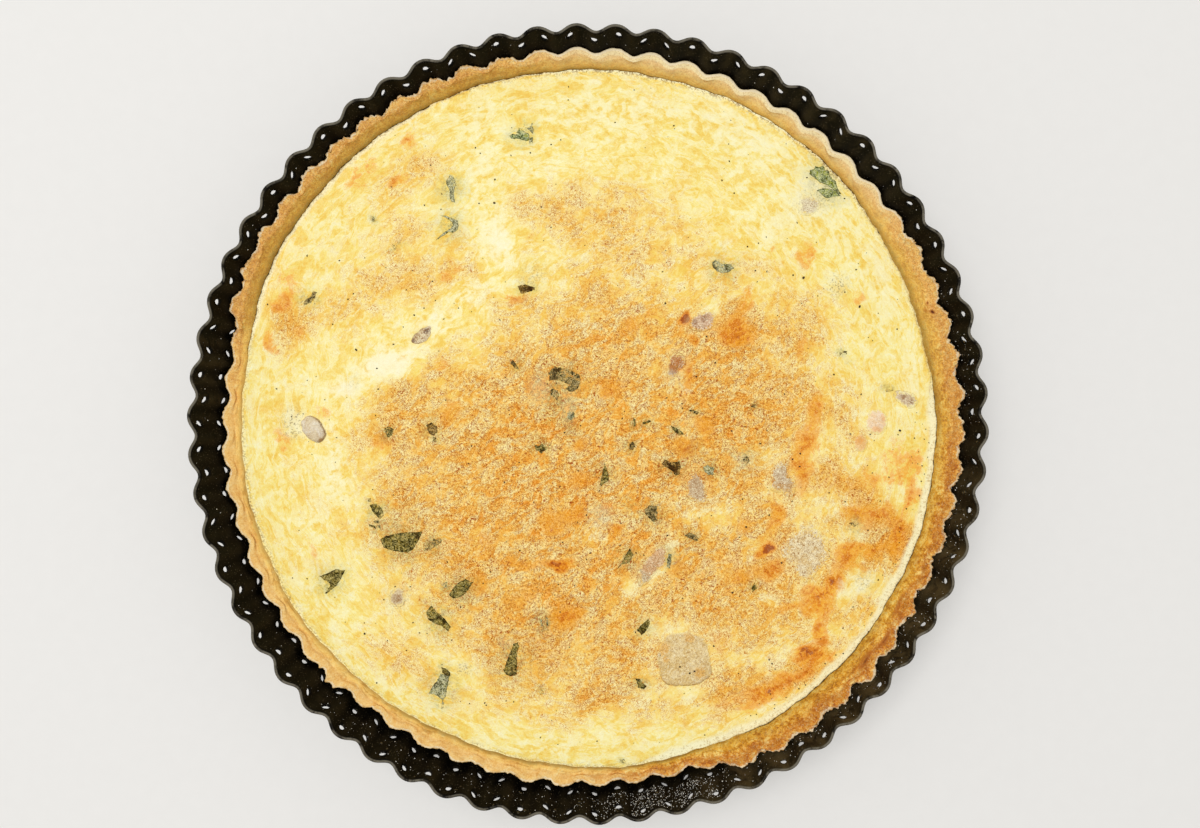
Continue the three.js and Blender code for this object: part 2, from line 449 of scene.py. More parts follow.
def makeTinWall(finish):
    heights, step = wallHeights()
    columns = tin["holeColumns"]
    pitch = fullTurn / tin["holesRound"]
    bm = spunRows(len(heights), tin["holesRound"], columns - 1, pitch / 2)
    rowLayer = bm.verts.layers.float["row"]
    holeIndices = [heights.index(row) for row in tin["holeRows"]]
    middles = []
    for vert in bm.verts:
        if round(vert[rowLayer]) in holeIndices:
            share = math.atan2(vert.co.y, vert.co.x) / pitch - 0.5
            if abs(share - round(share)) < 0.2 / columns:
                middles.append(vert)
    bmesh.ops.delete(bm, geom=middles, context="VERTS")
    bmesh.ops.reverse_faces(bm, faces=bm.faces[:])  # outward, so the sheet thickens inwards
    mesh = finished(bm, "tin")
    rows, angles = rowsAndAngles(mesh)
    height = np.array(heights)[rows]
    for row in tin["holeRows"]:  # the eight points left round each hole go onto a circle
        radius = wallRadius(row)
        share = angles / pitch - 0.5
        across = (share - np.rint(share)) * pitch * radius
        up = (height - row) / math.cos(math.atan(tin["lean"]))
        side = pitch * radius / columns
        near = (np.abs(across) < 1.2 * side) & (np.abs(height - row) < 1.2 * step)
        grow = np.where(near, tin["holeRadius"] / np.maximum(np.hypot(across, up), 1e-9), 1)
        angles = angles + np.where(near, across * (grow - 1) / radius, 0)
        height = height + np.where(near, (height - row) * (grow - 1), 0)
    radius = wallRadius(height) + fluteReach(height) * flute(angles)
    placeAll(mesh, around(angles, radius, height))
    # painted sheen: flute faces turned to the lamp catch its light, most on the lower right stretch, fading
    # lower down the wall
    ripple = (angles - tin["fluteStart"]) * tin["flutes"]
    lit = sector(angles, *tin["bright"]) * (0.6 + 0.4 * np.cos(ripple + 1.2))
    faint = (0.25 + stretches(angles, tin["faint"])) * np.cos(ripple + 2.6) ** 2
    film = np.clip(np.maximum(lit, faint * 0.6), 0, 1) * ease(height, 10 * mm, 26 * mm)
    # the top row carries the cut rim's painted highlight
    colourLayer(mesh, "film", film, rows == rows.max())
    obj = piece("tin", mesh, finish, ["tin"])
    thick = obj.modifiers.new("sheet", "SOLIDIFY")
    thick.thickness = tin["sheet"]
    thick.offset = -1
    thick.use_even_offset = True


def makeTinBase(finish):
    bm = bmesh.new()
    bmesh.ops.create_circle(bm, cap_ends=True, segments=tin["flutes"] * 8, radius=1)
    for vert in bm.verts:
        angle = math.atan2(vert.co.y, vert.co.x)
        radius = wallRadius(0) - tin["sheet"] * 1.1 + fluteReach(0) * flute(angle)
        vert.co = (radius * math.cos(angle), radius * math.sin(angle), 0)
    raised = bmesh.ops.extrude_face_region(bm, geom=bm.faces[:])
    lifted = [g for g in raised["geom"] if isinstance(g, bmesh.types.BMVert)]
    bmesh.ops.translate(bm, verts=lifted, vec=(0, 0, tin["sheet"]))
    bmesh.ops.recalc_face_normals(bm, faces=bm.faces[:])
    plate = finished(bm, "tin base")
    cutter = bmesh.new()
    pitch = tin["basePitch"]
    reach = wallRadius(0) - tin["baseMargin"]
    rows = math.ceil(reach / pitch / math.sqrt(0.75))
    for j in range(-rows, rows + 1):
        for i in range(-rows, rows + 1):
            x = (i + 0.5 * (j % 2)) * pitch
            y = j * pitch * math.sqrt(0.75)
            if math.hypot(x, y) < reach:
                made = bmesh.ops.create_cone(
                    cutter, cap_ends=True, segments=tin["holeSides"], radius1=tin["holeRadius"],
                    radius2=tin["holeRadius"], depth=5 * tin["sheet"])
                bmesh.ops.translate(cutter, verts=made["verts"], vec=(x, y, 0))
    punch = bpy.data.objects.new("punch", finished(cutter, "punch"))
    base = bpy.data.objects.new("plate", plate)
    for obj in (punch, base):
        bpy.context.scene.collection.objects.link(obj)
    cut = base.modifiers.new("holes", "BOOLEAN")
    cut.operation = "DIFFERENCE"
    cut.solver = "MANIFOLD"
    cut.object = punch
    bpy.context.view_layer.update()
    holed = bpy.data.meshes.new_from_object(base.evaluated_get(bpy.context.evaluated_depsgraph_get()))
    holed.name = "tinBase"
    for obj in (punch, base):
        bpy.data.objects.remove(obj)
    piece("tinBase", holed, finish, ["tin"], smooth=False)


tinCoating = tinFinish()
makeTinWall(tinCoating)
makeTinBase(tinCoating)
print("tin done")


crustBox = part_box("crust")
crust = {
    "gap": 0.46 * mm,              # between the crust and the tin's inner face
    "bottom": crustBox[0].z,
    "high": 26.1 * mm,
    "low": 22.7 * mm,
    "pulledIn": 1.4 * mm,
    "floor": 4 * mm,
    "columnsPerFlute": 30,
    "steps": [1, 1, 1, 2, 2, 3, 3, 4, 4, 4, 4, 2, 1, 1],  # rows after each control point
    "seed": 5,
    # where the crust is so: start, stop and softness in degrees
    "slump": (164, 291, 7),
    "neat": (33, 97, 12),
    "golden": (172, 276, 16),
    "deep": (270, 374, 14),
    # painted light on the stretch whose inner slope faces away from the lamp
    "light": (6, 190, 50),
    "blond": (38, 94, 18),
    # the same, with how much
    "raised": ((114, 160, 20, 1.3), (297, 324, 14, 1.3), (34, 68, 16, -1.0)),    # mm
    "drawnIn": ((228, 289, 10, 1.0), (34, 74, 12, 0.6), (178, 196, 10, -0.6)),   # mm
    "crumbly": ((292, 392, 14, 0.8), (100, 166, 12, 0.7)),
    "blushed": ((100, 200, 20, 0.6), (290, 355, 15, 0.3)),
    "deeper": ((104, 166, 14, 0.3), (298, 340, 10, 0.45)),
    "deepLip": ((134, 170, 12, 0.4),),
    # where the painted shade at the foot is darker
    "shaded": ((0, 48, 10, 1), (84, 160, 10, 1), (236, 290, 10, 1)),
    # places across the rim, from outside to inside, where something starts and where it ends
    "onTop": ((4.6, 5.6), (8.6, 9.8)),
    "shown": ((3.0, 4.5), (10.2, 11.2)),
    "outside": ((3.2, 4.8), (5.8, 7.0)),
    "lip": 5.8,
    "crest": 7.6,
    # tones from dark to light, and where they stand on that scale
    "scale": (0.0, 0.35, 0.65, 1.0),
    "tan": (paint(204, 116, 22), paint(240, 166, 68), paint(254, 200, 104), paint(255, 236, 166)),
    "rusty": (paint(166, 80, 4), paint(216, 132, 28), paint(242, 166, 58), paint(255, 218, 132)),
    "smooth": (paint(224, 160, 76), paint(242, 190, 104), paint(252, 210, 132), paint(255, 234, 170)),
    "slope": (paint(192, 134, 20), paint(224, 170, 44), paint(242, 194, 66), paint(255, 220, 110)),
    "band": (paint(218, 150, 66), paint(196, 118, 24)),   # ordinary, and where the crust is deep
    "lightLayer": paint(253, 218, 122),
    "darkLayer": paint(166, 108, 20),
    # colour of that painted light
    "lifted": paint(255, 206, 116),
    "cream": paint(255, 238, 184),
    "outerLip": paint(250, 208, 150),
    "lightCrumb": paint(255, 232, 172),
    "darkCrumb": paint(184, 108, 32),
    "crack": paint(150, 84, 24),
    # painted shade along the crevice where the crust meets the custard
    "foot": paint(142, 108, 34),
    "paleLipHighlight": paint(255, 238, 200),
    "browned": paint(176, 98, 30),
    "burnt": paint(104, 46, 12),
    # browned places on the rim: angle and its spread in degrees, place across the rim, its spread, strength
    "spots": [
        (18.0, 0.45, 8.4, 0.5, 1.7), (19.6, 0.3, 8.6, 0.35, 1.5), (18.6, 0.5, 9.4, 0.4, 0.8),
        (10.0, 0.8, 9.6, 0.5, 0.4), (5.0, 0.7, 6.6, 0.5, 0.5), (2.0, 0.5, 8.0, 0.5, 0.45),
        (13.5, 0.5, 7.4, 0.4, 0.5), (26.0, 0.6, 8.2, 0.5, 0.35), (161.5, 1.2, 9.0, 0.5, 0.45),
        (136.0, 0.9, 7.6, 0.7, 0.5), (177.0, 1.4, 8.2, 0.7, 0.45), (143.0, 0.8, 8.4, 0.6, 0.4),
        (315.5, 0.45, 8.3, 0.45, 1.3), (319.5, 2.2, 8.8, 0.7, 1.25), (324.0, 2.0, 8.2, 0.6, 1.2),
        (329.5, 2.6, 9.2, 0.45, 1.0), (350.0, 1.5, 7.0, 0.6, 0.4), (356.0, 0.8, 7.6, 0.4, 0.5),
        (306.0, 1.2, 9.4, 0.6, 0.35), (337.0, 1.4, 8.6, 0.6, 0.4),
    ],
    # torn places on the outer lip: angle and its spread in degrees, how far out in mm
    "tears": [
        (330.0, 0.35, 1.8), (322.0, 0.4, 0.9), (313.4, 0.5, 0.8), (304.6, 0.4, 0.7), (339.0, 0.4, 0.8),
        (318.0, 0.5, 1.2), (232.6, 0.35, -1.2), (222.2, 0.3, 1.6), (224.4, 0.35, 1.5),
        (223.2, 0.25, -0.6), (226.0, 0.4, 0.9), (130.4, 0.3, 1.3), (153.2, 0.8, 1.6), (110.0, 0.4, 0.6),
        (105.4, 0.2, 0.9), (116.0, 0.25, 0.8), (144.6, 0.3, 0.9), (162.6, 0.3, 1.0), (168.4, 0.5, -0.7),
        (292.4, 0.5, 1.2), (291.0, 0.4, -0.9), (247.0, 0.4, -0.6), (23.4, 0.3, -1.0), (29.6, 0.4, 0.8),
        (4.6, 0.4, 0.7), (52.6, 0.3, 0.5), (257.0, 0.3, 0.7), (251.6, 0.25, 0.8), (264.0, 0.3, -0.8),
    ],
    # angle in degrees and radius in mm at which the custard meets the crust
    "inside": [
        (0, 126.2), (14, 125.2), (22, 125.2), (31, 125.8), (38, 126.8), (44, 127.3), (53, 127.9),
        (92, 128.3), (120, 129.1), (158, 128.4), (170, 125.2), (180, 126.0), (212, 125.8), (228, 124.5),
        (246, 123.6), (262, 124.0), (272, 124.8), (292, 124.8), (302, 126.6), (340, 126.6),
    ],
}


def slump(angle):
    return sector(angle, *crust["slump"])


def fillingEdge(angle):  # where the custard meets the crust
    where, reach = np.array(crust["inside"]).T
    spread = sum(np.interp(angle + math.radians(step), np.radians(where), reach, period=fullTurn)
                 for step in (-3, -1, 1, 3)) / 4
    ripple = 0.2 * np.sin(17 * angle + 1) + 0.16 * np.sin(43 * angle + 2) + 0.13 * np.sin(97 * angle + 1)
    return (spread + ripple) * mm


def shoulderFoot(angle):  # height of that line
    return 20.9 * mm + 0.7 * mm * slump(angle) + 0.6 * mm * sector(angle, 48, 98, 10)


def crustControls(angle):
    low = slump(angle)
    neat = sector(angle, *crust["neat"])
    wave = flute(angle)
    top = crust["high"] + (crust["low"] - crust["high"]) * low + mm * stretches(angle, crust["raised"])
    top = top + 0.22 * mm * np.sin(7 * angle + 1) + 0.18 * mm * np.sin(19 * angle + 2.2) * (1 - neat)
    pulled = low * crust["pulledIn"] + mm * stretches(angle, crust["drawnIn"])

    def outer(height, share=1.0):
        inset = tin["sheet"] + crust["gap"] + pulled * share
        return wallRadius(height) - inset + fluteReach(height) * wave

    edge = outer(top)
    inside = fillingEdge(angle) - 0.15 * mm
    foot = shoulderFoot(angle)
    span = edge - fluteReach(top) * wave - inside
    lip = inside + np.maximum(span - 5.0 * mm, 0.4 * span) + (0.25 + 0.35 * neat) * fluteReach(top) * wave
    lip = lip + (0.35 * mm * np.sin(31 * angle + 1) + 0.25 * mm * np.sin(53 * angle)) * (1 - 0.7 * low)
    floorTop = crust["bottom"] + crust["floor"]
    flat = 0 * angle
    return [
        (flat + 8 * mm, flat + crust["bottom"]),
        (outer(crust["bottom"], 0) - 1 * mm, flat + crust["bottom"]),
        (outer(crust["bottom"] + 1 * mm, 0), flat + crust["bottom"] + 1 * mm),
        (outer(top - 4 * mm), top - 4 * mm),
        (outer(top - 1.5 * mm), top - 1.5 * mm),
        (edge - 0.1 * mm, top - 0.5 * mm),
        (edge - 0.9 * mm, top - 0.02 * mm),
        (edge - 2.4 * mm, top - 0.05 * mm),
        ((edge - 2.4 * mm + lip) / 2, top - 0.3 * mm),
        (lip, top - 0.9 * mm),
        (inside * 0.55 + lip * 0.45, foot * 0.6 + top * 0.4 - 0.3 * mm),
        (inside, foot + 0.15 * mm),
        (inside - 0.5 * mm, foot - 1.2 * mm),
        (flat + 119 * mm, flat + floorTop),
        (flat + 8 * mm, flat + floorTop),
    ]


def crustFinish():
    book = Book("shortcrust")
    inward, burnt, pale = book.layer("bake")  # outer lip to custard, browned spots, pale lip line with painted highlight
    crest, deep, golden = book.layer("blush")  # browner crests, browner stretch, smooth golden stretch
    lift, blond, shaded = book.layer("lift")  # painted light on the stretch that faces away from the lamp, a blond stretch, and where the painted shade at the foot is darker
    crumb = book.swing(0.5 * mm, 2, 0.6)
    flake = book.swing(1.3 * mm, 3, 0.6, 0.8)
    patch = book.swing(4.0 * mm, 3, 0.6, 0.6)
    layered = book.swing(1.0, 3, 0.6, 0.5, book.painted("wrap"))
    hairline = book.grain(1.7 * mm, 2, 0.6, 1.5)
    crack = 1 - book.between(abs(hairline - 0.5), 0.006, 0.05)
    tone = 0.5 + patch * (0.3 + 0.2 * deep) + flake * (0.52 + 0.1 * deep - 0.22 * golden) - crest * 0.25
    tan, rusty, smooth, slope = [book.ramp(tone, crust["scale"], crust[name])
                                 for name in ("tan", "rusty", "smooth", "slope")]
    place = inward + patch * 0.06 + flake * 0.05
    band = book.between(place, 0.3, 0.46) * (1 - book.between(place, 0.58, 0.74))
    low = book.between(inward + patch * 0.05 + flake * 0.03, 0.56, 0.84)
    # painted shade at the foot of the inner slope, next to the custard
    foot = book.between(inward + flake * 0.04 + layered * 0.04, 0.8, 0.97)
    colour = book.coats(
        book.tint(golden, book.tint(deep, tan, rusty), smooth),
        (band * (0.2 + 0.35 * deep + 0.3 * blond), book.tint(deep, *crust["band"])),
        (low * (0.85 - 0.45 * golden - 0.25 * deep), slope),
        (book.between(layered, 0.05, 0.7) * (0.2 + 0.35 * low), crust["lightLayer"]),
        (book.between(layered, -0.05, -0.7) * (0.25 + 0.35 * low), crust["darkLayer"]),
        # painted light, lifting the stretch that faces away from the lamp
        (lift * 0.34, crust["lifted"]),
        (blond * 0.85 * (1 - 0.5 * band), crust["cream"]),
        ((1 - book.between(place, 0.06, 0.3)) * (0.5 - 0.2 * golden), crust["outerLip"]),
        (book.between(crumb, 0.1, 0.8) * (0.4 - 0.2 * low - 0.1 * golden), crust["lightCrumb"]),
        (book.between(crumb, -0.1, -0.8) * (0.34 - 0.1 * low - 0.1 * golden), crust["darkCrumb"]),
        (crack * (0.4 - 0.3 * golden) * (1 - low * 0.6), crust["crack"]),
        (foot * (0.35 + 0.3 * shaded), crust["foot"]),
        # pale pastry along the lip, brightened further as a painted highlight
        (book.between(pale + crumb * 0.2, 0.3, 0.8) * 0.8, crust["paleLipHighlight"]),
        (book.between(burnt + flake * 0.2, 0.25, 0.9) * 0.75, crust["browned"]),
        (book.between(burnt, 1.0, 1.35), crust["burnt"]))
    bump = book.relief(crumb, 0.08 * mm, 0.5 - 0.3 * golden)
    bump = book.relief(flake, 0.2 * mm, 0.55 - 0.3 * golden, bump)
    bump = book.relief(1 - crack, 0.3 * mm, 0.35 - 0.25 * golden, bump)
    return book.surface(Base_Color=colour, Roughness=0.66, Normal=bump, Specular_IOR_Level=0.22)


def makeCrust(finish):
    shares = profileShares(crust["steps"])
    bm = spunRows(len(shares), tin["flutes"], crust["columnsPerFlute"] - 1, tin["fluteStart"])
    closeRing(bm, 0)
    closeRing(bm, len(shares) - 1)
    bmesh.ops.recalc_face_normals(bm, faces=bm.faces[:])
    mesh = finished(bm, "crust")
    rows, angles = rowsAndAngles(mesh)
    profile = smoothProfile(np.array(crustControls(angles)), crust["steps"])
    index = np.arange(len(angles))
    radius, height = profile[rows, 0, index], profile[rows, 1, index]
    share = shares[rows]
    onTop, shown, outside = [plateau(share, *crust[name]) for name in ("onTop", "shown", "outside")]
    neat = sector(angles, *crust["neat"])
    golden = sector(angles, *crust["golden"])
    rough = 1 - 0.7 * neat
    x, y = radius * np.cos(angles), radius * np.sin(angles)
    broad = fractal(x, y, height, 5.5 * mm)
    fine = fractal(x, y, height, 1.4 * mm)
    ragged = fractal(x, y, 0 * height, 2.2 * mm)
    frayed = fractal(x, y, 0 * height, 0.9 * mm, 2)
    phase = (angles - tin["fluteStart"]) * tin["flutes"]
    crest = np.clip(0.5 + 0.5 * np.cos(phase), 0, 1)
    number = np.rint(phase / fullTurn).astype(int) % tin["flutes"]
    dice = random.Random(crust["seed"])
    browning = np.array([dice.uniform(0.1, 1.0) for _ in range(tin["flutes"])])
    dent = np.exp(-(share - crust["crest"]) ** 2) * crest ** 2
    flaky = 0.34 * mm * broad + 0.15 * mm * fine * (0.5 + onTop) * (1 - 0.6 * golden)
    height = height + shown * flaky * rough - 0.3 * mm * dent
    crumbly = 0.55 + stretches(angles, crust["crumbly"]) - 0.1 * golden
    radius = radius + outside * rough * crumbly * (1.0 * mm * ragged + 0.45 * mm * frayed - 0.2 * mm)
    degrees = np.degrees(angles)
    for where, spread, reach in crust["tears"]:
        away = ((degrees - where + 180) % 360 - 180) / spread
        radius = radius + reach * mm * outside * np.exp(-np.abs(away) ** 1.5)
    radius = np.minimum(radius, insideWall(angles, height) - 0.15 * mm)
    placeAll(mesh, around(angles, radius, height))
    burnt = np.zeros(len(angles))
    for where, spread, along, width, strength in crust["spots"]:
        away = ((degrees - where + 180) % 360 - 180) / spread
        burnt = burnt + strength * np.exp(-away ** 2 - ((share - along) / width) ** 2)
    # pale pastry along the lip, brightened further as a painted highlight
    lipLine = np.exp(-((share - crust["lip"]) / 0.42) ** 2)
    pale = lipLine * (0.75 + 0.5 * ragged + 0.3 * neat) + outside * neat * 0.3
    colourLayer(mesh, "bake", np.clip((share - 5) / 6, 0, 1), burnt, np.clip(pale, 0, 1))
    blush = dent * browning[number] * (0.3 + stretches(angles, crust["blushed"]))
    deep = sector(angles, *crust["deep"]) * (0.85 + 0.4 * broad) + stretches(angles, crust["deeper"])
    deep = deep + stretches(angles, crust["deepLip"]) * (1 - ease(share, 6, 8))
    smooth = golden + 0.5 * neat
    colourLayer(mesh, "blush", np.clip(blush, 0, 1), np.clip(deep, 0, 1), np.clip(smooth, 0, 1))
    blond = sector(angles, *crust["blond"]) * (1 - ease(share, 7.5, 10.5))
    shaded = np.clip(stretches(angles, crust["shaded"]), 0, 1)
    # painted light on the stretch facing away from the lamp, the blond stretch, and where the painted shade
    # at the foot is darker
    colourLayer(mesh, "lift", sector(angles, *crust["light"]), blond, shaded)
    wrapLayer(mesh, "wrap", share * 1.3, angles, 24)
    piece("crust", mesh, finish, ["crust"])


makeCrust(crustFinish())
print("crust done")


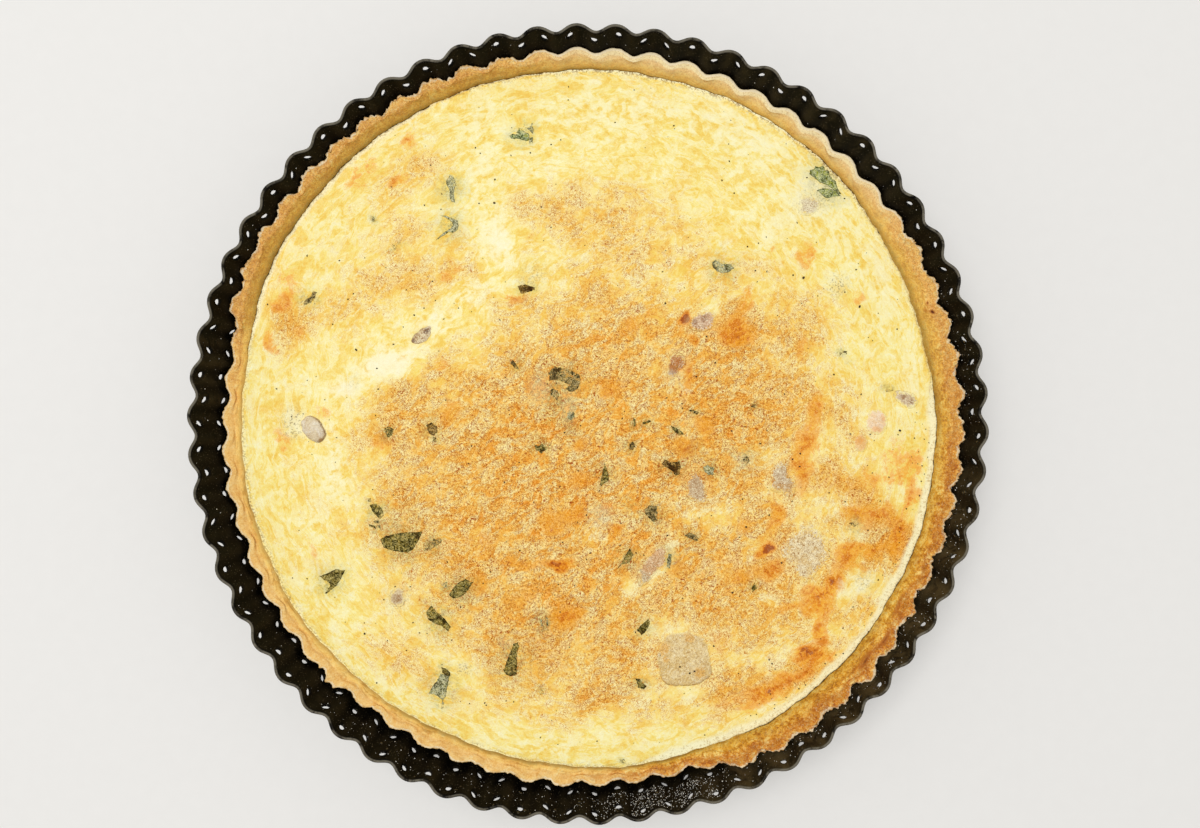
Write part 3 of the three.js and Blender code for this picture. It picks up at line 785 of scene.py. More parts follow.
# Chopped parsley, half baked into the custard
parsley = {
    "thickness": 0.4 * mm,
    "lift": 0.16 * mm,
    "rim": 0.28 * mm,
    "cell": 1.1 * mm,
    "frayed": 0.26 * mm,
    "crumpled": 0.12 * mm,
    "seed": 4,
    "creep": 0.24,            # how far the custard creeps over one side of a leaf
    # each tone when dull, fresh, grey and brown
    "darkTone": (paint(44, 42, 4), paint(62, 84, 4), paint(96, 98, 52), paint(60, 32, 2)),
    "lightTone": (paint(136, 114, 38), paint(148, 154, 26), paint(174, 168, 110), paint(150, 104, 38)),
    "paleTone": (paint(200, 182, 112), paint(234, 236, 184), paint(226, 222, 180), paint(196, 156, 96)),
    "stained": paint(84, 52, 26),
    "flecks": paint(26, 24, 4),
    "edge": paint(32, 30, 6),
    # how fresh, grey and brown each look is
    "looks": {"fresh": (1, 0, 0), "dark": (0, 0, 0), "grey": (0, 1, 0), "olive": (0, 0.35, 0.6),
              "brown": (0, 0, 1)},
    # each leaf: its look, how much custard veils it, its outline in mm
    "leaves": [
        ("fresh", 0.05, [(-28.5, 104.3), (-27.4, 104.9), (-26.2, 104.5), (-25, 105.2), (-22.8, 105.3),
            (-21.5, 104.8), (-21.5, 102.6), (-22.5, 102.3), (-25.5, 103.1), (-28, 103.2)]),
        ("fresh", 0.5, [(-26, 105.3), (-25, 107), (-23.6, 106.2), (-22.3, 105), (-24, 104.8)]),
        ("grey", 0.35, [(-21.6, 104.1), (-20, 103.6), (-20.2, 102), (-21.5, 101.8)]),
        ("grey", 0.3, [(-22.3, 107), (-21, 107.5), (-20.4, 108.7), (-19.7, 106), (-20.3, 104.8),
            (-21.2, 106)]),
        ("grey", 0.2, [(-50.1, 89.9), (-51.5, 87.5), (-51, 86), (-50, 84), (-50.2, 82.5), (-49.6, 80.3),
            (-48.2, 80), (-48.6, 82), (-48.6, 84.5), (-47.7, 87), (-48.8, 89.3)]),
        ("grey", 0.15, [(-53.5, 75.3), (-51, 75), (-49.5, 74.5), (-47.2, 73.5), (-47, 71.5), (-47.2, 70),
            (-49, 69), (-50.5, 69.3), (-52, 68.2), (-55.2, 66.4), (-52.4, 69), (-50.2, 70.4), (-49, 71.6),
            (-49.4, 73), (-51.4, 74.3)]),
        ("brown", 0.15, [(-25.5, 49.7), (-23.5, 50.3), (-21.5, 49.9), (-19.5, 49.3), (-19.3, 48.3),
            (-21, 47.8), (-22.6, 47.2), (-24.5, 47)]),
        ("olive", 0.3, [(-103, 42.8), (-102.8, 44.5), (-100.5, 46), (-99.5, 48), (-98.3, 47.5),
            (-98.8, 45.6), (-99.5, 44.5), (-101, 43.5)]),
        ("olive", 0.4, [(-28.2, 22), (-27.3, 23), (-26.6, 22), (-26, 21.5), (-24.5, 19), (-26.5, 20)]),
        ("olive", 0.35, [(-14.5, 18.5), (-12.5, 20.7), (-10, 20.2), (-6.5, 19.4), (-3, 17.5), (-2.6, 15),
            (-4, 12.5), (-5.6, 11.6), (-7, 11.8), (-8.5, 12.5), (-6.5, 14), (-9, 15), (-11.5, 16),
            (-14, 15.5)]),
        ("olive", 0.4, [(-14, 12), (-12.6, 12.8), (-11, 12), (-10.7, 10.4), (-11.3, 8.3), (-12.2, 9.6),
            (-13.6, 10.2)]),
        ("grey", 0.55, [(-8, 4), (-6.6, 5), (-5, 4), (-4.8, 2.4), (-6.2, 1.3), (-7.8, 2.2)]),
        ("dark", 0.4, [(-19.5, -7.5), (-19, -9.5), (-17, -10.8), (-15.5, -9.5), (-13.3, -7.3),
            (-15, -8.2), (-16.5, -7.2), (-18, -8)]),
        ("dark", 0.15, [(5.9, -14.2), (5.2, -17), (4.8, -19.5), (4.2, -21), (4.5, -22.5), (6.5, -21),
            (7.3, -20.5), (7.3, -18.5), (6.8, -16.5)]),
        ("brown", 0.1, [(26.4, -14.5), (27.8, -13), (30, -14), (32.8, -13.5), (33.2, -15.5), (33, -18),
            (31.5, -18.8), (30.5, -17.3), (29, -16.2), (27.2, -15.2)]),
        ("olive", 0.3, [(20.3, -31), (22, -29.5), (24.8, -29.8), (25, -32), (25, -35), (23.5, -35.8),
            (22, -34), (20.8, -33)]),
        ("olive", 0.3, [(34.8, -40.3), (36.5, -39.3), (38.5, -40), (40, -41.2), (39.3, -42.5),
            (37.5, -41.7), (36, -41)]),
        ("dark", 0.35, [(15, -45), (16.2, -47), (15.5, -49), (14.5, -50.3), (12, -51), (10.6, -52.3),
            (11.5, -50.5), (12.5, -49.3), (13.3, -47.5), (14.3, -46)]),
        ("grey", 0.35, [(28.3, -46.5), (30, -47), (30, -49.5), (29.5, -52.3), (28.5, -52), (28, -49)]),
        ("dark", 0.2, [(16.2, 2.2), (16.9, 1.6), (17.2, -0.8), (16.4, -0.9)]),
        ("dark", 0.2, [(19.5, 0.5), (22.2, 1.3), (22.6, 0.6), (19.7, -0.3)]),
        ("olive", 0.4, [(15.2, -6.8), (16, -6.5), (17, -8), (16.3, -9.5), (14.5, -9.2)]),
        ("dark", 0.25, [(29.8, -0.8), (31.5, -1.5), (33, -2.2), (34.6, -3.8), (33, -4.2), (31.8, -3.5),
            (30.5, -2.3)]),
        ("olive", 0.4, [(36, 5), (38, 4.9), (40, 4), (39.5, 3.3), (38, 3.8)]),
        ("grey", 0.25, [(41.3, -15.5), (43, -15), (45.5, -16), (45, -18.5), (43, -18.6), (42, -17.5)]),
        ("dark", 0.3, [(-79.2, -29.5), (-76.5, -28.8), (-74.6, -31), (-74, -33.3), (-75.5, -34.5),
            (-77, -33.2), (-78.5, -31.2)]),
        ("grey", 0.9, [(-78.4, -34.6), (-76, -35), (-75, -38), (-76.8, -37.6)]),
        ("dark", 0.25, [(-79.5, -36.5), (-77.2, -36.9), (-77, -37.8), (-79.2, -37.2)]),
        ("olive", 0.2, [(-79.9, -27.2), (-78.9, -26.8), (-78.7, -28.2), (-79.5, -28.4)]),
        ("dark", 0.1, [(-75.3, -42), (-74, -44.8), (-71, -45.9), (-68, -46.4), (-65.5, -46.6),
            (-63.5, -45.5), (-61.5, -42.5), (-60, -38.7), (-62, -39.2), (-66, -39.3), (-69.5, -39.8),
            (-73.3, -40.6)]),
        ("olive", 0.65, [(-59.8, -44.5), (-58.8, -43), (-56.5, -41.8), (-53.2, -41.5), (-53, -42.8),
            (-55, -44.3), (-57, -45.5), (-59.5, -46.2)]),
        ("dark", 0.15, [(-97.5, -55.3), (-94.5, -54.2), (-91.5, -52.7), (-88.2, -53), (-89.5, -56),
            (-91, -58.5), (-93, -60), (-94.9, -61.7), (-94.3, -59.8), (-93.4, -58.7), (-94, -57.4),
            (-95.6, -56.6)]),
        ("dark", 0.1, [(-50.3, -61.8), (-49, -59.5), (-47, -57.5), (-44.5, -56.2), (-41.7, -57.3),
            (-43, -59.5), (-45, -61.8), (-47.5, -63.2), (-49.3, -63)]),
        ("grey", 0.8, [(-53.4, -58), (-51, -57), (-49.4, -58), (-50.4, -60), (-52.6, -59.6)]),
        ("dark", 0.15, [(-59, -68.3), (-56.8, -65.7), (-55, -68), (-52, -70.5), (-49.8, -73.5),
            (-50.8, -75), (-53, -73.2), (-55.5, -72.3), (-57.8, -71)]),
        ("dark", 0.1, [(-53.2, -88), (-51.4, -88.8), (-50, -90), (-50, -91.5), (-51.5, -91),
            (-52.8, -90.2)]),
        ("grey", 0.2, [(-53.3, -90.4), (-50.2, -91.3), (-50.8, -94.5), (-51.5, -98), (-52.5, -100.5),
            (-54.5, -98.5), (-57.8, -97.5), (-56, -94.5), (-54.5, -92.5)]),
        ("grey", 0.6, [(-53, -100.2), (-52.2, -100.4), (-52.5, -103), (-53.4, -103)]),
        ("dark", 0.15, [(-25.5, -79), (-27, -79.5), (-28.3, -83), (-29.5, -86), (-30.8, -89),
            (-30, -90.5), (-28, -91.3), (-25.8, -90.5), (-25.8, -87), (-26, -84), (-25, -80.5)]),
        ("grey", 0.75, [(-17.6, -70.6), (-16.6, -71), (-16, -75), (-16.9, -75.2)]),
        ("grey", 0.75, [(-15.6, -69.4), (-14.6, -70.2), (-14.4, -73), (-15.2, -73)]),
        ("fresh", 0.0, [(79.8, 90.4), (80.4, 91.8), (81.5, 92), (82.2, 93.3), (83.2, 92.7), (85, 93.3),
            (85.6, 91.8), (87, 91.5), (87.4, 89.6), (89.5, 87.5), (90.2, 85.4), (91.5, 83), (89.8, 83.5),
            (88, 85.3), (86, 86.5), (83.8, 87.3), (82, 88.8)]),
        ("fresh", 0.1, [(82.8, 84.4), (85, 85.2), (87.5, 85), (89.5, 84.2), (91.3, 82.5), (88.5, 82),
            (86, 81.6), (84, 83.3)]),
        ("grey", 0.3, [(44.5, 58.3), (46, 59.2), (48.5, 57.8), (51.5, 57.7), (52.5, 56.3), (51, 54.8),
            (48.5, 54.4), (46.5, 54.9), (45, 56.5)]),
        ("olive", 0.45, [(90.7, 25.6), (92, 26.4), (93.4, 26.2), (93.2, 25.5), (92, 25.6), (90.8, 24.9)]),
        ("dark", 0.35, [(-73.7, -1.4), (-71.8, -1), (-70.4, -2), (-71, -4.4), (-72.6, -5),
            (-73.2, -3.4)]),
        ("brown", 0.2, [(-58.6, -0.6), (-56.8, 0.4), (-54.8, -0.8), (-54.5, -3.2), (-56, -4.4),
            (-57.6, -3.6)]),
        ("dark", 0.3, [(-56.1, -4.8), (-55.2, -4.9), (-55, -6.6), (-55.9, -6.4)]),
        ("dark", 0.15, [(17.5, -74.5), (20, -72), (21.8, -70.3), (22.3, -72.5), (21, -74.6),
            (19.3, -76.5)]),
        ("dark", 0.2, [(17, -92), (18.5, -92.3), (21, -95), (20, -96), (18, -95.5), (17.6, -93.6)]),
        ("dark", 0.2, [(60, -57.5), (61, -59.5), (59.2, -60.8), (58.8, -59.3)]),
        ("grey", 0.85, [(-79, 74.8), (-77.6, 75), (-77, 73.4), (-78.4, 73)]),
        ("brown", 0.95, [(-71, 65.2), (-69.6, 65.8), (-69, 64), (-70.2, 62.6), (-70.8, 63.8)]),
        ("olive", 0.6, [(55.6, -12), (57.4, -11.6), (58.4, -13.4), (57, -14.8), (56, -13.6)]),
        ("brown", 0.6, [(94.2, -36), (95.8, -35.5), (97.5, -36.6), (96, -37.4)]),
        ("olive", 0.6, [(107.3, 12.2), (109.8, 12.7), (110.4, 11.9), (107.6, 11.5)]),
        ("olive", 0.7, [(-18, -96.2), (-16.4, -96), (-16, -97.6), (-17.4, -98)]),
        ("olive", 0.7, [(59, 7.4), (60.4, 7), (60, 5.6), (58.6, 6)]),
        ("olive", 1.0, [(11.5, -121.5), (13, -121), (13.4, -122.4), (12, -122.8)]),
    ],
}


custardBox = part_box("custard")
custard = {
    "top": 22.4 * mm,
    "cells": 280,             # of the surface grid, side to side
    "shoulderRows": 9,
    "bottom": custardBox[0].z + 0.1 * mm,
    "floorRadius": 118.5 * mm,
    "pocket": 2.4 * mm,       # deep under each piece of seafood
    "underRows": 3,
    # where the rim is so: start, stop and softness in degrees, how much
    "creamBand": (281, 365, 8),
    "paleRim": ((116, 166, 6, 0.7), (38, 112, 8, 0.5), (320, 329, 4, -0.3)),
    "dirtyRim": ((38, 112, 8, 0.45), (180, 222, 8, 0.3)),
    "wideRim": ((117, 165, 6, 1.2), (321, 329, 5, -1.2)),  # mm
    # tones from dark to light, and where they stand on that scale
    "scale": (0.0, 0.25, 0.5, 0.75, 1.0),
    "pale": (paint(246, 208, 92), paint(250, 224, 116), paint(253, 233, 138), paint(255, 242, 162),
             paint(255, 251, 200)),
    "baked": (paint(248, 162, 46), paint(255, 187, 70), paint(255, 206, 98), paint(255, 222, 130),
              paint(255, 236, 164)),
    # the next three on pale custard and on baked
    "wisp": (paint(255, 252, 206), paint(255, 234, 166)),
    # painted highlight on the ridges between the creases
    "ridge": (paint(255, 250, 196), paint(255, 232, 166)),
    # creases: browning, darkened further as painted shade
    "crease": (paint(230, 158, 48), paint(170, 78, 4)),
    "moist": paint(246, 172, 54),
    "vein": paint(240, 154, 34),
    "toasted": (paint(247, 166, 34), paint(226, 128, 10), paint(150, 54, 8)),
    "milk": paint(255, 246, 190),
    "milkLine": paint(244, 214, 118),
    # whitens the creamiest places as painted wet glints
    "cream": paint(255, 252, 226),
    "halo": paint(254, 238, 170),         # round the seafood
    "haze": paint(172, 164, 98),          # round the parsley
    "hazeDots": paint(104, 102, 44),
    "dotted": paint(240, 226, 178),
    "dots": paint(140, 118, 78),
    "shoulder": (paint(255, 248, 202), paint(206, 178, 112)),
    "verge": paint(150, 112, 52),
    # soft painted patches: x, y, half length and half width in mm, turn in degrees, strength
    "brownPatches": [
        (0, -16, 118, 106, 0, 0.24), (-40, -8, 38, 32, 10, 0.52), (2, 8, 32, 38, 0, 0.46),
        (0, -44, 50, 30, 5, 0.58), (24, 34, 30, 14, -8, 0.3), (50, 8, 26, 26, 0, 0.6),
        (0, -82, 40, 18, 0, 0.38), (-48, 54, 26, 10, 8, 0.22), (-86, 46, 16, 10, 0, 0.22),
        (-64, 90, 20, 10, 30, 0.28), (-4, 76, 30, 14, 0, 0.26), (40, 62, 26, 12, -10, 0.16),
        (-110, 34, 8, 14, 0, 0.28), (-66, 4, 12, 14, 0, 0.3), (62, -16, 16, 16, 0, 0.3),
        (96, 6, 16, 14, 0, 0.18), (76, 38, 16, 16, 0, 0.28), (50, -68, 28, 20, 15, 0.42),
        (92, -26, 16, 14, 0, 0.36), (-58, -62, 16, 10, -20, 0.2), (-66, -32, 12, 16, 0, 0.25),
        (30, -96, 40, 8, 5, 0.3), (84, -84, 16, 10, 40, 0.3), (110, -42, 9, 14, -20, 0.7),
        (-26, -40, 14, 12, 0, 0.2), (16, 24, 14, 12, 0, 0.2), (24, -14, 22, 14, 0, 0.3),
        (-14, -50, 20, 8, 0, 0.35), (-8, -16, 14, 10, 20, 0.4), (-4, 2, 8, 6, 0, 0.3),
        (40, -6, 18, 12, 0, 0.45), (46, 8, 10, 8, 0, 0.5), (64, -38, 10, 12, 0, 0.3),
        (-24, 44, 9, 5, 0, 0.3), (54, 32, 10, 8, 0, 0.4), (-10, -66, 14, 8, 0, 0.3),
        (-20, 12, 12, 12, 0, 0.22), (36, -60, 14, 8, 0, 0.25), (32, 16, 10, 8, 0, 0.35),
        (-20, -90, 30, 8, 0, 0.12), (-66, 66, 14, 10, 0, 0.18), (92, -58, 12, 16, 0, 0.25),
        (90, 2, 12, 10, 0, 0.18), (-92, -30, 8, 16, 0, 0.12), (0, -104, 60, 8, 0, 0.12),
        (76, -92, 12, 8, 35, 0.2), (84, 8, 16, 26, 0, 0.08), (94, -20, 14, 14, 0, 0.2),
        (56, -50, 26, 16, 0, 0.3), (56, -98, 20, 9, 20, 0.25), (40, -104, 16, 7, 10, 0.12),
        (20, -32, 12, 12, 0, 0.45), (42, 0, 14, 10, 0, 0.55), (10, 80, 26, 9, 0, 0.16),
        (-60, 98, 12, 9, 0, 0.14), (-70, 60, 16, 9, 0, 0.14), (10, 61, 18, 6, 0, 0.18),
        (-104, 38, 7, 8, 0, 0.16), (102, -60, 9, 9, 0, 0.4), (12, 2, 10, 8, 0, 0.3),
        (-28, -76, 20, 12, 0, 0.3), (-40, -62, 10, 8, 0, 0.35), (-70, -84, 18, 10, -35, 0.2),
    ],
    "orangePatches": [
        (80, 6, 8, 22, 0, 0.15), (92, -22, 16, 12, 0, 0.3), (58, -50, 22, 10, 0, 0.2),
        (60, -98, 18, 8, 20, 0.3), (100, 20, 10, 14, 0, 0.2), (-20, -82, 24, 10, 0, 0.2),
        (40, -104, 18, 6, 10, 0.15), (-70, -84, 18, 8, -35, 0.2), (-84, 88, 5, 4, 40, 0.7),
        (-78, 93, 4, 3, 40, 0.6), (-108, 53, 3, 5, -20, 0.6), (-112, 42, 4, 2, 0, 0.7),
        (62, -101, 7, 3, 25, 0.8), (80, -87, 6, 3, 45, 0.9), (112, -38, 5, 3, 60, 0.8),
        (116, -20, 3, 5, 0, 0.8), (-10, -51, 5, 2.2, 5, 1.3), (-8, -69, 5, 4.5, 0, 1.1),
        (-24, -51, 8, 2, 0, 0.5), (-12, -36, 7, 6, 0, 0.5), (54, 33, 6, 5, 0, 1.0),
        (57, 44, 3, 8, -20, 0.6), (79, 61, 4, 5, 0, 0.8), (68, 62, 2, 5, 0, 0.6), (15, 36, 4, 4, 0, 0.6),
        (79, -6, 4, 5, 0, 1.0), (77, -18, 3, 8, 0, 0.9), (82, 4, 3, 8, -10, 0.7),
        (84, -61, 6, 3, 15, 1.4), (83, -66, 6, 4, 0, 1.2), (89, -57, 4, 3, 30, 1.2),
        (93, -48, 4, 4, 40, 1.1), (100, -45, 8, 2.5, 0, 1.0), (81, -84, 7, 2.5, 10, 1.4),
        (84, -76, 3, 6, 0, 1.0), (71, -93, 6, 3, 15, 1.0), (64, -97, 6, 2.5, 0, 1.1),
        (112, -42, 4, 6, -20, 0.9), (117, -28, 2.5, 6, -20, 0.9), (118, -14, 3, 6, 0, 0.8),
        (112, -12, 6, 9, 0, 0.6), (105, -33, 8, 4, 0, 0.8), (97, -33, 5, 3, 0, 0.8),
        (103, -20, 5, 4, 20, 0.7), (68, -34, 2.5, 6, 0, 0.8), (66, -53, 5, 2.5, 20, 0.8),
        (72, -66, 6, 2, 0, 0.7), (35, -9, 4, 4, 0, 0.8), (42, 0, 5, 3, 0, 0.6), (36, 17, 2.5, 8, 0, 0.7),
        (8, 13, 6, 3, 25, 0.6), (-3, -8, 3, 3, 0, 0.6), (-3, -20, 4, 4, 0, 0.6),
        (-4, -33, 4, 2.5, 0, 0.7), (10, -37, 3, 2, 0, 0.8), (30, -52, 5, 3, 0, 0.6),
        (-68, 88, 5, 2.5, 0, 0.8), (-66, 102, 5, 3, 40, 0.7), (-108, 46, 5, 3, 0, 0.8),
        (-115, 30, 2.5, 4, 0, 1.0), (-104, 33, 4, 4, 0, 0.5), (-97, 5, 4, 3, 0, 0.6),
        (-110, -5, 3, 6, 0, 0.7), (-75, -7, 5, 4, 0, 0.7), (-50, 5, 4, 5, 0, 0.6),
        (-53, 22, 4, 3, 0, 0.5), (-50, 54, 6, 3, 40, 0.6), (-26, 45, 5, 3, 0, 0.7),
        (-23, -62, 4, 4, 0, 0.4), (-40, -58, 3, 4, 0, 0.7), (-40, -42, 8, 4, 0, 0.4),
        (98, 45, 4, 3, 0, 0.7), (77, 28, 2, 6, 0, 0.6), (-100, -46, 3, 8, 10, 0.4),
        (48, -80, 4, 6, 0, 0.4), (112, -20, 4, 3, 0, 0.5), (34.2, 37.8, 2.7, 2.6, 0, 2.0),
        (63.4, -44.6, 1.9, 3.0, -35, 2.1), (37.5, 30.5, 1.6, 1.4, 0, 1.1), (33, 21.5, 1.4, 1.2, 0, 1.4),
        (55, -56, 5, 3, 0, 0.6), (57, -37, 3, 3, 0, 0.5), (88, -84, 4, 2, 30, 0.7),
        (96, -52, 8, 2, 0, 0.7),
    ],
    "creamPatches": [
        (15, 106, 30, 8, 0, 0.5), (60, 86, 18, 8, -40, 0.45), (104, 30, 5, 12, 15, 0.35),
        (-36, 66, 8, 12, 0, 0.4), (44, 42.5, 5, 2.5, 10, 0.7), (27.5, 39, 3, 6, 0, 0.5),
        (24, 19, 4, 5, 0, 0.5), (36, 13, 5, 3, 0, 0.5), (100, 1, 6, 6, 0, 0.6), (81, 22, 6, 6, 0, 0.4),
        (1, -41, 6, 5, 0, 0.5), (22, -80, 8, 6, 0, 0.4), (60, -63, 6, 5, 0, 0.35), (2, 22, 6, 5, 0, 0.3),
        (78, 2, 5, 6, 0, 0.3), (40, -102, 8, 5, 0, 0.3), (0, 38, 8, 6, 0, 0.5), (0, 62, 8, 5, 0, 0.6),
        (-42, 80, 8, 10, 0, 0.5), (-84, 2, 10, 6, 10, 0.4), (-40, -42, 8, 6, 0, 0.4),
        (24, -72, 10, 5, 0, 0.5), (42, -80, 8, 6, 0, 0.5), (56, -14, 6, 5, 0, 0.4),
        (-42, 112, 10, 10, 0, 0.8), (-38, 94, 6, 16, 0, 0.9), (-33, 66, 7, 12, 10, 1.3),
        (-42, 48, 9, 6, 30, 1.0), (-56, 36, 14, 6, 22, 1.1), (-73, 22, 14, 6, 18, 1.5),
        (-88, 13, 9, 5, 10, 1.5), (-106, 1, 7, 8, 0, 1.1), (-93, -16, 6, 18, 8, 1.1),
        (-97, -34, 5, 12, 0, 0.8), (8, 113, 40, 8, 0, 0.9), (52, 107, 22, 10, -28, 0.9),
        (80, 82, 12, 12, 0, 1.2), (66, 96, 14, 8, -40, 0.8), (105, 52, 8, 26, 20, 0.9),
        (117, 18, 5, 14, 5, 0.8), (63, 68, 9, 7, 0, 0.9), (90, 68, 8, 10, 0, 0.7), (92, 52, 5, 5, 0, 0.8),
        (5, -33, 4, 4, 0, 0.7), (2, -40, 5, 3, 0, 0.6), (15, -60, 5, 3, 40, 0.9),
        (30, -45, 2, 8, -25, 0.8), (25, -55, 8, 2, 40, 0.9), (34, -97, 12, 3, 0, 0.9),
        (22, -92, 5, 10, 0, 0.6), (30, -74, 12, 4, 0, 0.7), (66, -12, 7, 6, 0, 0.4),
        (66, -24, 5, 4, 0, 0.6), (40, -32, 8, 4, 0, 0.8), (44, -13, 5, 3, 0, 0.6),
        (30, 15, 6, 4, 0, 0.55), (-18, 54, 9, 8, 0, 0.8), (48, 66, 5, 4, 0, 0.8), (47, 58, 6, 5, 0, 0.5),
        (103, 2, 5, 4, 0, 1.1), (96, -14, 6, 5, 0, 0.7), (88, -4, 6, 6, 0, 0.5), (88, -30, 8, 7, 0, 0.7),
        (100, -57, 8, 5, 20, 1.2), (93, -61, 6, 4, 0, 0.9), (65, -63, 5, 3, 0, 0.8),
        (96, -39, 6, 2.5, 0, 0.8), (58, -47, 4, 4, 0, 0.6), (113, 13, 8, 4, -20, 0.8),
        (115, -32, 3, 4, 0, 0.5), (100, 30, 8, 10, 0, 0.5), (-69, -63, 8, 7, 0, 0.6),
        (-92, -70, 8, 14, 35, 0.6), (-60, -103, 26, 6, -25, 0.6), (-10, -116, 40, 5, 3, 0.7),
        (40, -114, 26, 4, 10, 0.6), (-100, -62, 5, 16, 28, 0.5), (-45, -90, 8, 5, 0, 0.6),
        (-80, -90, 14, 4, -42, 0.6), (-10, 100, 24, 6, 0, 0.5), (-115, 8, 3, 16, 0, 0.6),
        (-112, -25, 4, 14, 8, 0.6), (74, 74, 10, 6, 0, 0.5), (-70, 112, 12, 3, 32, 0.6),
        (-92, 92, 12, 3, 44, 0.6), (-106, 72, 3, 14, -28, 0.6), (-20, 88, 5, 6, 0, 0.3),
        (60, -104, 10, 3, 20, 0.5), (28, -30, 5, 4, 0, 0.4), (70, -101, 14, 2.5, 24, 0.5),
        (52, -32, 4, 3, 0, 0.4), (-6, -93, 10, 4, 0, 0.3),
    ],
    "dottedPatches": [
        (-107, 1, 4, 5, 0, 1.0), (-107, -4, 4, 2, 0, 0.6), (5, -33, 4, 4, 0, 0.9),
        (-69, -63, 4, 4.5, 0, 1.0), (-45, -89, 4, 2.5, 0, 0.8), (-20, 54, 5, 5, 0, 0.6),
        (80, 79, 6, 4, 0, 0.5), (90, 50, 4, 4, 0, 1.0), (100, -57, 4, 3.5, 0, 0.7),
        (-18, 13, 4, 6, 0, 0.7), (-7, 6, 3, 6, 0, 0.5), (56, -13, 4, 3, 0, 0.5), (-85, 15, 3, 3, 0, 0.4),
        (31, 17, 4, 4, 0, 0.5), (-30, -79, 3, 2, 0, 0.5), (97, -38, 5, 3, 0, 0.5),
    ],
    "hazePatches": [
        (-11, 9, 6, 7, 0, 0.7), (-6, 0, 3, 6, 0, 0.5), (56, -13, 5, 4, 0, 0.4), (38, -10, 4, 4, 0, 0.4),
        (16, -30, 4, 4, 0, 0.3),
    ],
}
seafoodNodes = sorted(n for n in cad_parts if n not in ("tin", "crust", "custard"))


def shoulderCream(angle):  # how pale the shoulder is
    return np.clip(0.3 + sector(angle, *custard["creamBand"]) + stretches(angle, custard["paleRim"]), 0, 1)


def fringe(angle, radius):  # crumbs and specks where the custard meets the crust
    dirty = 0.55 + stretches(angle, custard["dirtyRim"]) - 0.3 * sector(angle, *custard["creamBand"])
    return dirty * np.clip(np.exp(-(fillingEdge(angle) - radius - 0.6 * mm) / (0.9 * mm)), 0, 1)


def shoulderWidth(angle):
    broad = 1.1 + 3 * sector(angle, *custard["creamBand"]) + stretches(angle, custard["wideRim"])
    ripple = 0.1 * np.sin(9 * angle) + 0.08 * np.sin(23 * angle + 1) + 0.05 * np.sin(61 * angle)
    return broad * mm * (1 + ripple)


def levelTop(x, y):  # the custard's top before any relief, as the CAD has it
    swell = 0.5 * mm * np.cos(x / (46 * mm) - 0.7) * np.cos(y / (52 * mm) + 0.5)
    return custard["top"] + swell - 0.6 * mm * np.hypot(x, y) / (126 * mm)


def custardHeight(x, y):
    relief = 0.3 * mm * fractal(x, y, 0 * x + 0.01, 38 * mm)
    relief = relief + 0.15 * mm * fractal(x, y, 0 * x + 0.03, 9 * mm)
    angle = np.arctan2(y, x)
    foot = shoulderFoot(angle)
    width = shoulderWidth(angle)
    down = np.clip((np.hypot(x, y) - fillingEdge(angle) + width) / width, 0, 1)
    top = levelTop(x, y) + relief
    return top + (foot - top) * (0.5 * down + 0.5 * (1 - np.sqrt(1 - down ** 2)))


def reachAround(flat, blur):  # how far a ring of points reaches in each direction, softened over blur steps
    angles = np.arctan2(flat[:, 1], flat[:, 0])
    order = np.argsort(angles)
    fine = np.radians(np.arange(0, 360, 5))
    rough = np.interp(fine, angles[order], np.hypot(flat[:, 0], flat[:, 1])[order], period=fullTurn)
    softened = sum(np.roll(rough, k) for k in range(-blur, blur + 1)) / (2 * blur + 1)
    return {"angles": fine, "reach": softened}


def outlineOf(name):  # a CAD lump's outline, seen from above
    points = np.array([v.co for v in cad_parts[name].data.vertices])
    middle = ((points.min(0) + points.max(0)) / 2)[:2]
    flat = points[:, :2] - middle
    reach = np.hypot(flat[:, 0], flat[:, 1])
    levels = np.round(points[:, 2] / mm, 1)
    widest = max(set(levels), key=lambda level: reach[levels == level].mean())
    return {"middle": middle, **reachAround(flat[levels == widest], 3)}


def drawnOutline(points):  # the same for a drawn outline, in mm
    ring = np.array(points) * mm
    middle = ring.mean(0)
    return {"middle": middle, **reachAround(ring - middle, 1)}


# What each piece of seafood looks like: its colours, how far it stands proud in mm, how much custard
# veils it, where its flesh fades into the custard, the painted shade along one side of its edge and on
# which side, stained places in mm, its pale halo, its outline in mm where it isn't the CAD lump's, how
# strong its grain is
plainSeafood = {
    "flesh": (216, 190, 148), "pale": (236, 216, 176), "stain": (196, 140, 80), "proud": 0.35, "veil": 1.0,
    "fade": (0.35, 1.0), "line": 0.0, "lineSide": 270, "stains": (), "halo": 0.4, "outline": None,
    "grain": 0.45,
}
